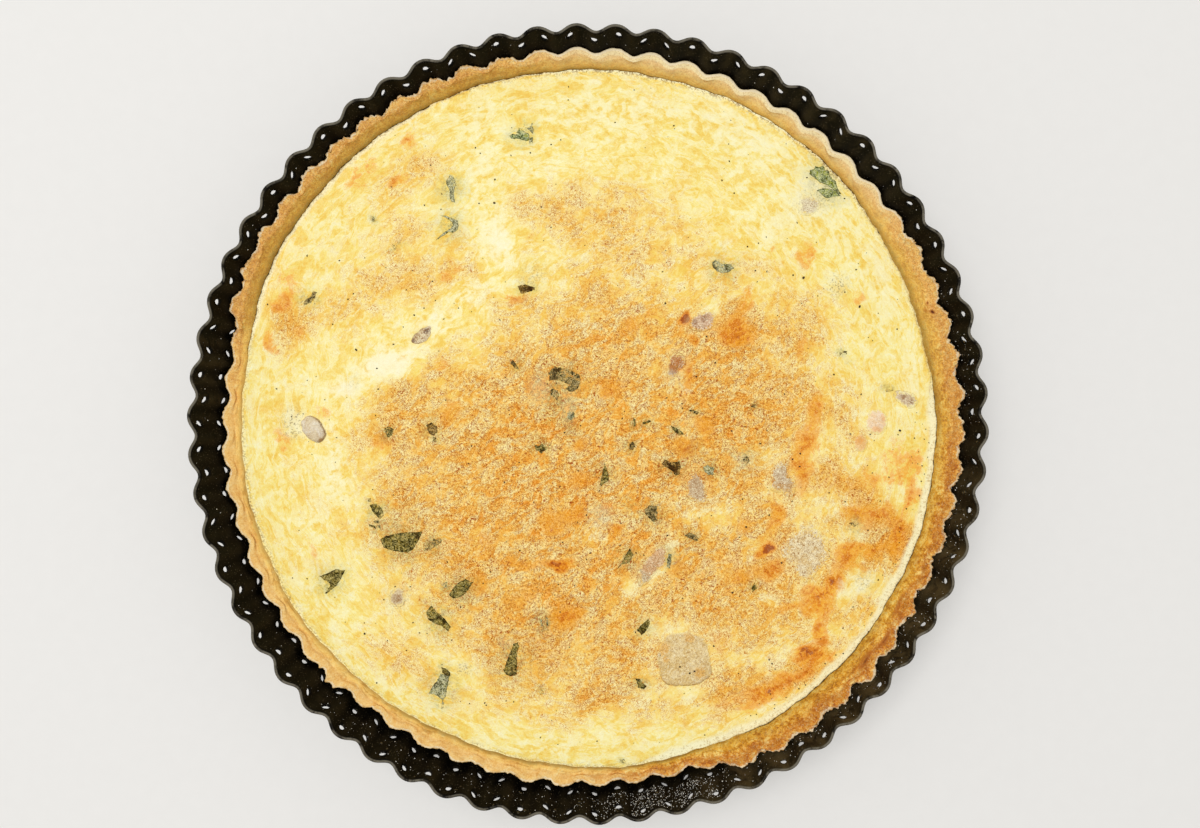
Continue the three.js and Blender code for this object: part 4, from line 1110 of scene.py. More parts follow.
# the flesh's light and dark fibres, its creases with browning and painted shade, and the painted shade
# along one side of its edge
fleshTones = {"light": paint(255, 243, 204), "dark": paint(156, 104, 54), "crease": paint(156, 106, 50),
              "edge": paint(150, 108, 52)}
seafood = {
    "scallop": {
        "flesh": (232, 200, 130), "pale": (252, 232, 178), "stain": (240, 190, 104), "proud": 0.7,
        "grain": 0.26, "veil": 0.35, "fade": (0.8, 1.0), "line": 0.75, "lineSide": 275, "halo": 0.5,
        "stains": ((27, -81, 3.0), (40.5, -90, 2.5), (36.5, -77.5, 2.0), (28, -85, 1.5)),
        "outline": ((25, -80), (25, -88), (25.2, -92), (27, -94.4), (31, -95.1), (37, -94.9),
            (41.5, -94.2), (44.5, -92), (45.2, -88), (44, -84), (43.5, -79), (40, -75.5), (34, -74.5),
            (28, -75.5)),
    },
    "mussel": {
        "flesh": (228, 208, 170), "pale": (248, 240, 220), "stain": (176, 136, 90), "proud": 2.4,
        "veil": 0.0, "grain": 0.06, "fade": (0.97, 1.05), "line": 0.9, "lineSide": 10, "halo": 0.3,
        "stains": ((-96.5, -6, 1.2),),
        "outline": ((-100.5, 3), (-103, 2), (-104, 0.5), (-103.7, -1.5), (-103, -3.5), (-101.5, -5.2),
            (-99, -6.6), (-96.5, -6.8), (-95, -4.5), (-96, -1), (-99, 2.3)),
    },
    "fish_patch": {
        "flesh": (244, 214, 150), "pale": (255, 242, 200), "veil": 1.3, "fade": (0.55, 1.0), "halo": 0.2,
        "outline": ((68.5, -45), (71, -41), (75, -38.5), (77.5, -34.5), (80, -34), (82.5, -37.5),
            (86, -40), (88, -43), (88, -47), (85.5, -51), (83, -53), (81, -57), (78, -58.5), (75.5, -57),
            (74, -52), (70.5, -49.5)),
    },
    "fish_upper": {
        "flesh": (228, 190, 156), "pale": (246, 222, 186), "stain": (186, 150, 122), "veil": 0.9,
        "fade": (0.45, 1.0), "line": 0.6, "lineSide": 260, "halo": 0.5,
        "stains": ((42, 38, 2.0), (38, 37, 1.5), (45.5, 37, 1.2)),
        "outline": ((36, 34.8), (38, 33.5), (41, 33), (44, 34), (46, 36), (46.5, 39), (45, 41.5),
            (42, 40.2), (39, 39.5), (37, 38)),
    },
    "fish_browned": {
        "flesh": (192, 118, 54), "pale": (220, 162, 104), "stain": (206, 184, 156), "veil": 0.9,
        "fade": (0.45, 1.0), "line": 0.5, "lineSide": 60, "halo": 0.5,
        "stains": ((30, 17.5, 2.6),),
        "outline": ((28, 19), (28.5, 16.5), (30.2, 15.3), (32, 17), (32.5, 19.5), (35, 20.5), (35.4, 23),
            (34, 25.8), (31.5, 26.2), (29.4, 25), (29, 22.5)),
    },
    "fish_middle": {
        "flesh": (210, 182, 140), "pale": (224, 200, 158), "stain": (200, 132, 66), "veil": 0.9,
        "fade": (0.4, 1.0), "line": 0.3, "lineSide": 190, "halo": 0.5,
        "stains": ((40.2, -18, 1.6),),
        "outline": ((35, -20), (37, -17), (39, -16.5), (41, -19), (42.5, -22), (43, -25.5), (43.3, -30),
            (41, -29.5), (38, -28.5), (35.5, -27), (35, -24)),
    },
    "fish_right": {
        "flesh": (222, 200, 160), "pale": (240, 224, 192), "stain": (212, 166, 104), "veil": 0.9,
        "fade": (0.4, 1.0), "line": 0.35, "lineSide": 280, "halo": 0.7,
        "stains": ((73, -23.5, 2.6), (69, -23, 2.4)),
        "outline": ((66, -14.5), (69, -12.5), (72, -12), (72, -16), (71.5, -19.5), (75, -20), (75.2, -24),
            (74.5, -26.5), (72, -27), (70, -25), (66, -25), (65, -22.5), (66, -20), (65.5, -17)),
    },
    "fish_edge": {
        "flesh": (214, 190, 154), "pale": (234, 214, 180), "stain": (170, 138, 104), "line": 0.5,
        "lineSide": 120, "halo": 0.5,
        "stains": ((109, 12, 1.2), (114, 10, 1.2), (117, 8, 1.2)),
    },
    "fish_top": {
        "flesh": (236, 222, 178), "pale": (246, 236, 200), "veil": 1.2, "proud": 0.25,
    },
    "fish_left": {
        "flesh": (222, 198, 152), "pale": (238, 220, 176), "stain": (186, 156, 116), "veil": 0.9,
        "stains": ((-69, -63, 1.8),),
    },
    "fish_corner": {
        "flesh": (226, 206, 160), "pale": (254, 242, 206), "stain": (120, 100, 84), "veil": 0.2,
        "line": 0.9, "lineSide": 220, "halo": 0.5, "fade": (0.85, 1.0),
        "stains": ((-63.5, 30.2, 1.2), (-58.5, 33.5, 1.3)),
        "outline": ((-64.8, 29.4), (-63.8, 31), (-61.5, 33), (-59, 35), (-56.6, 35.6), (-56.8, 33.4),
            (-57.6, 31), (-59.6, 29.4), (-62, 28.8)),
    },
    "prawn_strip": {
        "flesh": (226, 178, 126), "pale": (238, 202, 156), "stain": (210, 190, 150), "veil": 0.9,
        "fade": (0.45, 1.0), "line": 0.4, "lineSide": 190, "halo": 0.7,
        "stains": ((20, -56, 3.4), (18.5, -53, 1.6)),
        "outline": ((24, -45), (27, -42.5), (29.5, -44), (29.5, -47), (28, -51), (25, -52), (23, -55.5),
            (21, -58.5), (18, -60), (17.3, -57), (17.5, -52.5), (20, -50), (22, -47.5)),
    },
    "prawn_pink": {
        "flesh": (252, 214, 164), "pale": (255, 236, 208), "stain": (250, 196, 136), "proud": 0.5,
        "grain": 0.05, "fade": (0.5, 1.0),
        "stains": ((104, -3, 2.4), (107, 2, 1.5)),
        "outline": ((99.8, 0), (100.4, 3), (102.5, 5.2), (105, 5.6), (107.6, 4), (108.6, 1),
            (107.6, -2.5), (105, -4.2), (102.4, -3.6), (100.4, -2)),
    },
    "prawn_orange": {
        "flesh": (250, 198, 124), "pale": (252, 214, 150), "stain": (244, 178, 96), "proud": 0.5,
        "grain": 0.05, "fade": (0.5, 1.0),
        "stains": ((98, -6, 1.8),),
        "outline": ((95.6, -6), (96.2, -4), (98, -3.2), (100, -3.8), (101.2, -6), (101, -8.6),
            (99.4, -10.6), (97.2, -10.4), (95.8, -8.4)),
    },
}
outlines = {}
for name in seafoodNodes:
    seafood[name] = {**plainSeafood, **seafood[name]}
    drawn = seafood[name]["outline"]
    outlines[name] = drawnOutline(drawn) if drawn else outlineOf(name)


def within(outline, x, y):  # 0 at a lump's middle, 1 at its outline
    dx, dy = x - outline["middle"][0], y - outline["middle"][1]
    limit = np.interp(np.arctan2(dy, dx), outline["angles"], outline["reach"], period=fullTurn)
    return np.hypot(dx, dy) / limit


def patchwork(patches, x, y):
    clear = np.ones(len(x))
    extra = np.zeros(len(x))
    for px, py, along, across, lean, strength in patches:
        turn = math.radians(lean)
        dx, dy = x / mm - px, y / mm - py
        u = (dx * math.cos(turn) + dy * math.sin(turn)) / along
        v = (-dx * math.sin(turn) + dy * math.cos(turn)) / across
        patch = strength * np.exp(-(u * u + v * v) ** 1.3)
        clear *= 1 - np.minimum(patch, 0.98)
        extra = np.maximum(extra, patch)
    return np.maximum(1 - clear, extra)


def herbHaze(x, y):  # green that the parsley has lent the custard round it
    haze = 0 * x
    for _, _, outline in parsley["leaves"]:
        ring = np.array(outline) * mm
        middle = ring.mean(0)
        reach = 1.5 * np.hypot(*(ring - middle).T).mean()
        haze = np.maximum(haze, 0.7 * np.exp(-((x - middle[0]) ** 2 + (y - middle[1]) ** 2) / reach ** 2))
    return np.maximum(haze, 0.8 * patchwork(custard["hazePatches"], x, y))


def wandered(x, y, reach, size, depth):  # the same places, each moved a little by noise
    return (x + reach * fractal(x, y, 0 * x + 0.05, size, depth),
            y + reach * fractal(x, y, 0 * x + 0.09, size, depth))


def paintCustard(mesh, x, y, shoulder=0, halo=0):  # the painted layers that the custard's colours read
    near = wandered(x, y, 2.5 * mm, 7 * mm, 3)
    far = wandered(x, y, 5 * mm, 22 * mm, 4)
    cream = patchwork(custard["creamPatches"], *near)
    brown = patchwork(custard["brownPatches"], *far) * (1 - 0.6 * np.minimum(cream, 1))
    colourLayer(mesh, "tones", brown, patchwork(custard["orangePatches"], *near), cream)
    colourLayer(mesh, "places", shoulder, halo, patchwork(custard["dottedPatches"], x, y))
    angle, radius = np.arctan2(y, x), np.hypot(x, y)
    colourLayer(mesh, "herbs", herbHaze(*near), fringe(angle, radius))
    wrapLayer(mesh, "flow", radius / (5 * mm), angle, 5)


def stirred(book, where, size, reach):  # places pushed about by noise, so that what follows swirls
    stir = book.add("ShaderNodeTexNoise", sockets={"Vector": where, "Scale": 1 / size}, out="Color")
    push = book.add("ShaderNodeVectorMath", {"operation": "MULTIPLY_ADD"}, {
        0: stir, 1: (reach, reach, reach), 2: (-reach / 2, -reach / 2, -reach / 2)})
    return book.add("ShaderNodeVectorMath", {"operation": "ADD"}, {0: where, 1: push})


def custardSkin(book):  # colour, roughness, relief and creases, shared by the custard and what lies in it
    brown, orange, cream = book.layer("tones")
    shoulder, halo, dotted = book.layer("places")
    haze, verge, _ = book.layer("herbs")
    flow = book.painted("flow")
    slant = book.add("ShaderNodeMapping", {"vector_type": "TEXTURE"}, {
        "Vector": stirred(book, book.places(), 12 * mm, 12 * mm),
        "Rotation": (0, 0, math.radians(36)), "Scale": (2.2, 1, 1)})
    curled = stirred(book, book.stretched(flow, (1, 2.3, 2.3)), 2.0, 3.2)
    ringStreak = book.swing(0.7, 4, 0.65, 0.6, curled) * 0.62
    slantStreak = book.swing(3.2 * mm, 4, 0.6, 0.5, slant)
    outer = book.between(book.add("ShaderNodeSeparateXYZ", sockets={0: flow}), 12, 19)
    streak = slantStreak * (1 - outer) + ringStreak * outer
    cloud = book.swing(15 * mm, 3, 0.6, 0.4)
    blotch = book.swing(5.5 * mm, 3, 0.6, 0.8)
    mottle = book.swing(1.9 * mm, 3, 0.6, 1.0)
    grit = book.grain(0.62 * mm, 1, 0.5, 0.5)
    strokes = book.grain(1, 2, 0.6, 0.4, book.stretched(flow, (1.5, 26, 26)))
    fineRing = book.swing(1.0, 3, 0.6, 0.8, book.stretched(stirred(book, flow, 0.6, 0.8), (4.5, 10, 10)))
    thread = book.swing(1.1 * mm, 3, 0.6, 0.9, slant) * (1 - outer) + fineRing * outer
    shrunk = book.add("ShaderNodeTexVoronoi", {"voronoi_dimensions": "2D", "feature": "DISTANCE_TO_EDGE"}, {
        "Vector": stirred(book, stirred(book, book.places(), 2.4 * mm, 6.5 * mm), 0.5 * mm, 0.5 * mm),
        "Scale": 1 / (1.25 * mm)}, out="Distance")
    worm = book.swing(0.7 * mm, 1, 0.5, 1.2)
    turns = book.swing(2.8 * mm, 3, 0.6, 1.4) * 5
    folds = abs(turns.maths("SINE", turns))
    cracks = 1 - book.between(shrunk + worm * 0.12 + mottle * 0.05, 0.0, 0.21)
    crease = (1 - book.between(folds + worm * 0.1, 0.04, 0.4)) * 1.1 + cracks * 0.5
    ridge = book.between(shrunk + worm * 0.16, 0.14, 0.42)
    wisp = 1 - book.between(abs(streak - 0.16), 0.03, 0.24)
    vein = 1 - book.between(abs(streak + 0.26), 0.03, 0.2)
    # where the skin is dull and wrinkled
    dry = book.between(blotch + cloud * 0.6 + streak * 0.3, -1.0, 0.2)
    dull = 0.4 + 0.6 * dry
    milky = book.between(cream + streak * 0.55 + blotch * 0.4 + mottle * 0.3, 0.45, 1.2)
    skin = book.between(brown * 1.2 + streak * 0.2 + blotch * 0.16 + cloud * 0.16, 0.02, 0.88)
    tone = 0.52 + streak * 0.5 + blotch * 0.38 + mottle * 0.3 + thread * 0.3 - cloud * 0.14
    moist = book.between(streak * 0.6 - dry * 0.5 + orange * 0.4 + mottle * 0.2 + 0.15, -0.1, 0.7)
    toasted = orange * (1.15 + streak * 1.1 + mottle * 0.7 + blotch * 0.4 + crease * 0.25)
    toasted = toasted + (skin - 0.6) * 0.3 - milky * 0.4
    milkLine = book.between(thread + streak * 0.4, -0.05, -0.7)
    # the creamiest places, where painted wet glints whiten the cream
    creamiestGlint = book.between(cream + streak * 0.4 + mottle * 0.3, 0.8, 1.6)
    worn = (0.1 + 0.9 * book.between(skin, 0.04, 0.8)) * (1 - 0.55 * book.between(toasted, 0.3, 0.9))
    # painted highlight on the ridges of the wrinkles
    lit = ridge * (0.04 + 0.22 * worn * dull)
    # browning and painted shade in the creases
    creased = crease * (0.06 + 1.06 * worn * dull * (1 + 0.5 * mottle)) * (1 - 0.5 * milky)
    dots = book.between(grit + mottle * 0.08, 0.52, 0.66)
    pits = book.between(grit + (strokes - 0.5) * 0.8, 0.56, 0.7)
    speckled = book.between(grit + mottle * 0.12, 0.47, 0.6)
    pale, baked = [book.ramp(tone, custard["scale"], custard[name]) for name in ("pale", "baked")]
    golden, amber, char = custard["toasted"]
    colour = book.coats(
        book.tint(skin, pale, baked),
        (moist * skin * 0.4, custard["moist"]),
        (vein * (0.12 + 0.4 * skin), custard["vein"]),
        (wisp * (0.2 + 0.25 * dry), book.tint(skin, *custard["wisp"])),
        (book.between(toasted, 0.2, 0.75) * 0.75, golden),
        (book.between(toasted, 0.8, 1.4) * 0.85, amber),
        (book.between(toasted, 1.5, 2.1) * 0.9, char),
        (milky * 0.7, custard["milk"]),
        (milky * milkLine * 0.4, custard["milkLine"]),
        # painted wet glints on the creamiest places
        (creamiestGlint * 0.5, custard["cream"]),
        (halo * 0.5, custard["halo"]),
        (haze * book.between(mottle + blotch, -0.9, 0.3) * 0.8, custard["haze"]),
        (lit, book.tint(skin, *custard["ridge"])),
        (creased, book.tint(skin, *custard["crease"])),
        (haze * dots * 0.6, custard["hazeDots"]),
        (dotted * 0.35, custard["dotted"]),
        (dotted * dots * 0.7, custard["dots"]),
        (shoulder, book.tint(pits * 0.5, *custard["shoulder"])),
        (verge * speckled * 0.7, custard["verge"]))
    rough = 0.5 + 0.15 * skin - 0.1 * milky
    bump = book.relief(1 - crease, 0.25 * mm, 0.08 + 0.18 * skin)
    bump = book.relief(grit, 0.2 * mm, 0.15 + 0.2 * shoulder, bump)
    bump = book.relief(mottle, 0.3 * mm, 0.2, bump)
    return colour, rough, bump, crease


def custardFinish():
    book = Book("baked custard")
    colour, rough, bump, _ = custardSkin(book)
    return book.surface(Base_Color=colour, Roughness=rough, Normal=bump, Specular_IOR_Level=0.12)


def makeCustard(finish):
    bm = bmesh.new()
    bmesh.ops.create_grid(bm, x_segments=custard["cells"], y_segments=custard["cells"], size=1)
    for vert in bm.verts:  # the square grid is pressed into a disc
        x, y = vert.co.x, vert.co.y
        vert.co.x = x * math.sqrt(1 - y * y / 2)
        vert.co.y = y * math.sqrt(1 - x * x / 2)
    ringLayer = bm.verts.layers.float.new("row")
    edge = [e for e in bm.edges if e.is_boundary]
    for row in range(1, custard["shoulderRows"] + custard["underRows"] + 1):
        made = bmesh.ops.extrude_edge_only(bm, edges=edge)["geom"]
        for vert in (g for g in made if isinstance(g, bmesh.types.BMVert)):
            vert[ringLayer] = row
        edge = [g for g in made if isinstance(g, bmesh.types.BMEdge)]
    bmesh.ops.edgeloop_fill(bm, edges=edge)
    bmesh.ops.recalc_face_normals(bm, faces=bm.faces[:])
    mesh = finished(bm, "custard")
    rows, angles = rowsAndAngles(mesh)
    unit = coordsOf(mesh)
    share = np.minimum(np.hypot(unit[:, 0], unit[:, 1]), 1)
    width = shoulderWidth(angles)
    rim = fillingEdge(angles)
    down = np.clip(rows / custard["shoulderRows"], 0, 1)
    radius = np.where(rows > 0, rim - width * (1 - down), share * (rim - width))
    x, y = radius * np.cos(angles), radius * np.sin(angles)
    height = custardHeight(x, y)
    frayed = fractal(x, y, 0 * x, 1.6 * mm)
    spread = np.where((rows > 3) & (rows <= custard["shoulderRows"]), 0.35 * mm * frayed - 0.1 * mm, 0)
    x, y = x + spread * np.cos(angles), y + spread * np.sin(angles)
    height = height + np.where((rows > 0) & (rows < custard["shoulderRows"]), 0.16 * mm * frayed, 0)
    under = rows - custard["shoulderRows"]
    foot = shoulderFoot(angles) - 5 * mm
    lower = np.where(under == 1, rim - 2 * mm, custard["floorRadius"] - 1 * mm * (under - 2))
    x = np.where(under > 0, lower * np.cos(angles), x)
    y = np.where(under > 0, lower * np.sin(angles), y)
    height = np.where(under == 1, foot, height)
    floor = custard["bottom"] + 0.6 * mm * (custard["underRows"] - under)
    height = np.where(under >= 2, floor, height)
    halo = np.zeros(len(x))
    for name, outline in outlines.items():
        s = within(outline, x, y)
        height = height - np.where(rows == 0, custard["pocket"] * (1 - ease(s, 0.5, 0.78)), 0)
        halo = np.maximum(halo, np.exp(-((s - 1.12) / 0.25) ** 2) * seafood[name]["halo"])
    placeAll(mesh, np.stack([x, y, height], axis=1))
    shoulder = np.where(under > 0, 1, ease(down, 0.0, 0.5) * shoulderCream(angles))
    paintCustard(mesh, x, y, shoulder, halo)
    piece("custard", mesh, finish, ["custard"])


makeCustard(custardFinish())
print("custard done")


def seafoodFinish(name):
    looks = seafood[name]
    book = Book(name + " flesh")
    inside, stain, edge = book.layer("flesh")
    skin, _, skinBump, crease = custardSkin(book)
    fibre = book.swing(1.3 * mm, 2, 0.6, 2.0)
    patch = book.swing(3.0 * mm, 3, 0.6, 0.6)
    speckle = book.swing(0.7 * mm, 1, 0.6, 0.8)
    flesh, pale, stained = [paint(*looks[key]) for key in ("flesh", "pale", "stain")]
    bare = book.between(inside + (patch * 0.3 + speckle * 0.4 + fibre * 0.3) * looks["veil"], 0.25, 0.75)
    colour = book.coats(
        book.tint(book.between(patch, -0.4, 0.5) * 0.7, flesh, pale),
        (book.between(stain + patch * 0.3 + speckle * 0.2, 0.3, 0.8), stained),
        (book.between(fibre, 0.1, 0.7) * (0.4 + looks["grain"]), fleshTones["light"]),
        (book.between(fibre, -0.1, -0.7) * (0.2 + looks["grain"]), fleshTones["dark"]),
        # browning and painted shade in the creases, as on the custard
        (crease * (0.1 + looks["grain"]) * 1.2, fleshTones["crease"]))
    # painted shade in the gap along one side of the edge
    shadedRim = edge * book.between(speckle, -0.9, 0.3) * looks["line"]
    colour = book.coats(book.tint(bare, skin, colour), (shadedRim, fleshTones["edge"]))
    bump = book.relief(fibre, 0.15 * mm, 0.5, skinBump)
    return book.surface(Base_Color=colour, Roughness=0.45, Normal=bump, Specular_IOR_Level=0.2)


def makeSeafood(name, finish, slot):
    looks, outline = seafood[name], outlines[name]
    bm = bmesh.new()
    large = outline["reach"].mean() > 4 * mm
    bmesh.ops.create_icosphere(bm, subdivisions=5 if large else 4, radius=1)
    mesh = finished(bm, name)
    ball = coordsOf(mesh)
    upper = ball[:, 2] > 0
    angles = np.arctan2(ball[:, 1], ball[:, 0])
    flat = np.clip(np.hypot(ball[:, 0], ball[:, 1]), 0, 1)
    spread = np.where(upper, flat ** 0.8, flat)
    middle = outline["middle"]
    proud = looks["proud"] * mm
    reach = np.interp(angles, outline["angles"], outline["reach"], period=fullTurn)
    reach = reach * (1 + 0.06 * fractal(np.cos(angles), np.sin(angles), 0 * angles + middle[0] * 90, 0.5))
    x = middle[0] + spread * reach * np.cos(angles)
    y = middle[1] + spread * reach * np.sin(angles)
    level = custardHeight(x, y)
    dome = np.maximum(1 - spread ** 2, 0) ** (0.5 if looks["proud"] > 1 else 1)
    rise = proud * dome + 0.1 * mm - 0.5 * mm * ease(spread, 0.9, 1.0)
    ridges = 0.1 * mm * fractal(x, y, 0 * x + middle[1], 2.2 * mm) * ease(1 - spread, 0, 0.3)
    height = level + np.where(upper, rise + ridges, ball[:, 2] * 3 * mm - 0.5 * mm)
    placeAll(mesh, np.stack([x, y, height], axis=1))
    fade = 1 - ease(spread, *looks["fade"])
    stain = np.zeros(len(x))
    for sx, sy, size in looks["stains"]:
        stain = np.maximum(stain, np.exp(-((x / mm - sx) ** 2 + (y / mm - sy) ** 2) / size ** 2))
    # painted shade in the gap along one side of the edge, on the side lineSide names
    side = np.clip(np.cos(angles - math.radians(looks["lineSide"])) + 0.2, 0, 1)
    edge = np.exp(-((spread - 0.93) / 0.06) ** 2) * side
    colourLayer(mesh, "flesh", np.where(upper, fade, 0), stain, np.where(upper, edge, 0))
    paintCustard(mesh, x, y, 0, looks["halo"] * 0.6)
    piece(name, mesh, finish, [name])


for name in seafoodNodes:
    kind = name.split("_")[0]
    makeSeafood(name, seafoodFinish(name), "shellfish" if kind in ("prawn", "mussel") else "white_fish")
print("seafood done")


def parsleyFinish():
    book = Book("parsley")
    fresh, grey, brownish = book.layer("leaf")
    rim, veil, _ = book.layer("veil")
    skin, *_ = custardSkin(book)
    vein = book.swing(1.5 * mm, 3, 0.7, 1.6)
    fleck = book.swing(0.75 * mm, 1, 0.6, 1.2)
    patch = book.swing(3.0 * mm, 3, 0.6, 0.6)
    hair = book.grain(1.5 * mm, 1, 0.5, 1.8)
    line = 1 - book.between(abs(hair - 0.5), 0.02, 0.1)
    strand = 1 - book.between(abs(book.swing(1.3 * mm, 1, 0.5, 2.2)), 0.04, 0.42)
    tones = []
    for name, greyed in (("darkTone", grey * 0.8), ("lightTone", grey), ("paleTone", grey)):
        dull, green, faded, brown = parsley[name]
        tones.append(book.coats(dull, (fresh, green), (greyed, faded), (brownish * 0.7, brown)))
    dark, light, pale = tones
    laced = book.between(patch + fleck * 0.4 + 0.3 * grey, -0.8, 0.5)
    covered = veil * 0.84 + patch * 0.25 + vein * 0.3 + fleck * 0.4 + rim * (0.3 - 0.26 * fresh)
    colour = book.coats(
        book.tint(book.between(vein + patch * 0.5, -0.3, 0.5), dark, light),
        (strand * laced * (0.95 - 0.35 * fresh), pale),
        (book.between(patch, -0.1, -0.6) * 0.4, parsley["stained"]),
        (book.between(fleck, -0.1, -0.7) * (0.7 - 0.3 * grey), parsley["flecks"]),
        (line * 0.4 * fresh, pale),
        (rim * book.between(fleck, -1.0, 0.2) * (0.8 - 0.4 * grey), parsley["edge"]),
        (book.between(covered, 0.4, 0.8), skin))
    rough = 0.5 + 0.1 * grey
    bump = book.relief(vein, 0.12 * mm, 0.5)
    return book.surface(Base_Color=colour, Roughness=rough, Normal=bump, Specular_IOR_Level=0.02)


def makeParsley(finish):
    bm = bmesh.new()
    leafLayer = bm.verts.layers.float.new("leaf number")
    rimLayer = bm.verts.layers.float.new("rim")
    for number, (_, _, outline) in enumerate(parsley["leaves"]):
        ring = [bm.verts.new((x * mm, y * mm, 0)) for x, y in outline]
        for vert in ring:
            vert[leafLayer] = number
            vert[rimLayer] = 1
        face = bm.faces.new(ring)
        bmesh.ops.subdivide_edges(bm, edges=face.edges[:], cuts=3)
        face.normal_update()
        bmesh.ops.inset_region(bm, faces=[face], thickness=parsley["rim"], use_even_offset=True,
                               use_boundary=True)
        for vert in face.verts:
            vert[rimLayer] = 0
        bmesh.ops.triangulate(bm, faces=[face])
    for _ in range(2):
        inner = [e for e in bm.edges if e.calc_length() > parsley["cell"] and not e.is_boundary
                 and e.verts[0][rimLayer] < 0.5 and e.verts[1][rimLayer] < 0.5]
        bmesh.ops.subdivide_edges(bm, edges=inner, cuts=1)
        bmesh.ops.triangulate(bm, faces=[f for f in bm.faces if len(f.verts) > 4])
    bm.normal_update()
    bmesh.ops.reverse_faces(bm, faces=[f for f in bm.faces if f.normal.z < 0])
    mesh = finished(bm, "parsley")
    numbers, rim = takenLayer(mesh, "leaf number"), takenLayer(mesh, "rim")
    coords = coordsOf(mesh)
    x, y = coords[:, 0], coords[:, 1]
    x = x + parsley["frayed"] * fractal(x, y, 0 * x, 0.8 * mm, 2) * rim
    y = y + parsley["frayed"] * fractal(x, y, 0 * x + 1, 0.8 * mm, 2) * rim
    crumple = parsley["crumpled"] * fractal(x, y, 0 * x, 2.2 * mm)
    height = custardHeight(x, y) + parsley["lift"] * (1 - 0.6 * rim) + crumple * (1 - rim)
    placeAll(mesh, np.stack([x, y, height], axis=1))
    numbers = np.rint(numbers).astype(int)
    looks = np.array([parsley["looks"][look] for look, *_ in parsley["leaves"]])[numbers]
    veils = np.array([veil for _, veil, _ in parsley["leaves"]])[numbers]
    colourLayer(mesh, "leaf", looks[:, 0], looks[:, 1], looks[:, 2])
    dice = random.Random(parsley["seed"])
    creeping = np.zeros(len(x))  # custard creeps over one side of each leaf
    for number in range(len(parsley["leaves"])):
        mine = numbers == number
        side = dice.uniform(0, fullTurn)
        along = x[mine] * math.cos(side) + y[mine] * math.sin(side)
        creeping[mine] = (along - along.mean()) / max(np.abs(along - along.mean()).max(), 1e-6)
    colourLayer(mesh, "veil", rim, veils + parsley["creep"] * creeping)
    paintCustard(mesh, x, y)
    obj = piece("parsley", mesh, finish)
    thick = obj.modifiers.new("leaf", "SOLIDIFY")
    thick.thickness = parsley["thickness"]
    thick.offset = -1


makeParsley(parsleyFinish())
print("parsley done")


# Ground pepper: the larger grains listed one by one (x, y, length in mm), the rest scattered
pepper = {
    "seed": 11,
    "reach": 122,                 # mm
    "margin": 3 * mm,
    "scattered": 300,
    "sizes": (0.32, 0.38, 0.44, 0.52, 0.66),
    "onBand": 46,                 # more of it along the pale band at the lower right
    "band": (286, 362),
    "bandMargin": (2.5, 9),
    "bandSizes": (0.3, 0.6),
    "plump": 1.15,
    "colours": ((30, 22, 10), (88, 64, 34)),
    "grains": [
        (-33.8, 88.3, .9), (-34, 79.8, .9), (-39.5, 79.6, .6), (-17, 78.3, .6), (-13.5, 71, .6),
        (-13.5, 101, .6), (-21, 98, .6), (-28, 97, .6), (-40.8, 99.8, .6), (-53, 83, .6),
        (-53.3, 77.5, .6), (-56.4, 51.5, .6), (-55.3, 44.5, .6), (-85, 47, .6), (-87, 45, .6),
        (-92.5, 36, .6), (-84, 26.7, 1.), (-76.5, 20, .7), (-76, 12.5, .7), (-70.5, 28.7, .7),
        (-63, 39.2, .7), (-67, 35, .6), (-107.5, 2.5, .6), (-51.5, 8.5, .6), (-81, -76, .9),
        (-72.7, -78.5, .6), (-63.5, -72, .6), (-35.3, -53.5, .6), (-38, -57.7, .6), (-64.5, -59, .6),
        (-74, -63.7, .6), (-51, -50, .7), (-37.5, -101, .7), (-27, -100.5, .7), (-49.5, -78.3, .6),
        (-65.8, -82, .6), (-76.5, -93.7, .7), (34, -63, .6), (52, -61, .9), (33, -87.7, .9),
        (36.5, -90, .9), (38.3, -89.3, .8), (45.3, -80.3, .7), (65.3, -85.3, .7), (15.5, -78, .6),
        (62, -7.2, .9), (76.5, -10.8, .8), (76.3, -15.5, .7), (72.7, -19.8, .8), (70.8, 10.7, .6),
        (94.7, -3.7, .7), (102, -3.8, .7), (112.7, -2.5, 1.), (119.8, -26, .7), (105.5, -28, .6),
        (104.8, -56.5, .6), (95.7, -66.3, .7), (56.5, -1, .6), (64.5, -2.5, .7), (87, -46, .7),
        (78, -41, .7), (69.8, -50.3, .7), (57, -37.3, .8), (65.3, -33, .7), (87, -25, .6), (79, 89, .7),
        (92.7, 81.5, .7), (75.5, 72.7, .7), (64.3, 67.5, .6), (61.5, 65.3, .6), (57.5, 64, .6),
        (77.8, 52.8, 1.), (74, 53.7, .7), (64.5, 55, .7), (60.3, 55.3, .6), (61, 51.3, .6),
        (98, 42.3, 1.1), (96.8, 55.7, .7), (77, 43.5, .6), (42.7, 31.5, .7), (27.7, 43.5, 1.),
        (45.8, 22, .7), (51, 95, .7), (48.3, 88, .7), (-3.7, -17, .6), (-10.3, -22.7, .6),
        (-0.7, -33, .6), (13, 4.5, .6), (-2.8, -0.7, .6), (28.5, -40.3, .9), (-29.7, -42.7, .6),
        (11.5, -44, .6), (-0.7, -49, .6), (40, -34, .6), (-28.5, 3.3, .6), (-25, -14, .6),
    ],
}


def speckFinish(name, dark, light, rough):
    book = Book(name)
    tone = book.swing(0.4 * mm, 2, 0.5)
    return book.surface(Base_Color=book.tint(book.between(tone, -0.6, 0.6), paint(*dark), paint(*light)),
                        Roughness=rough, Normal=book.relief(tone, 0.1 * mm, 0.5), Specular_IOR_Level=0.3)


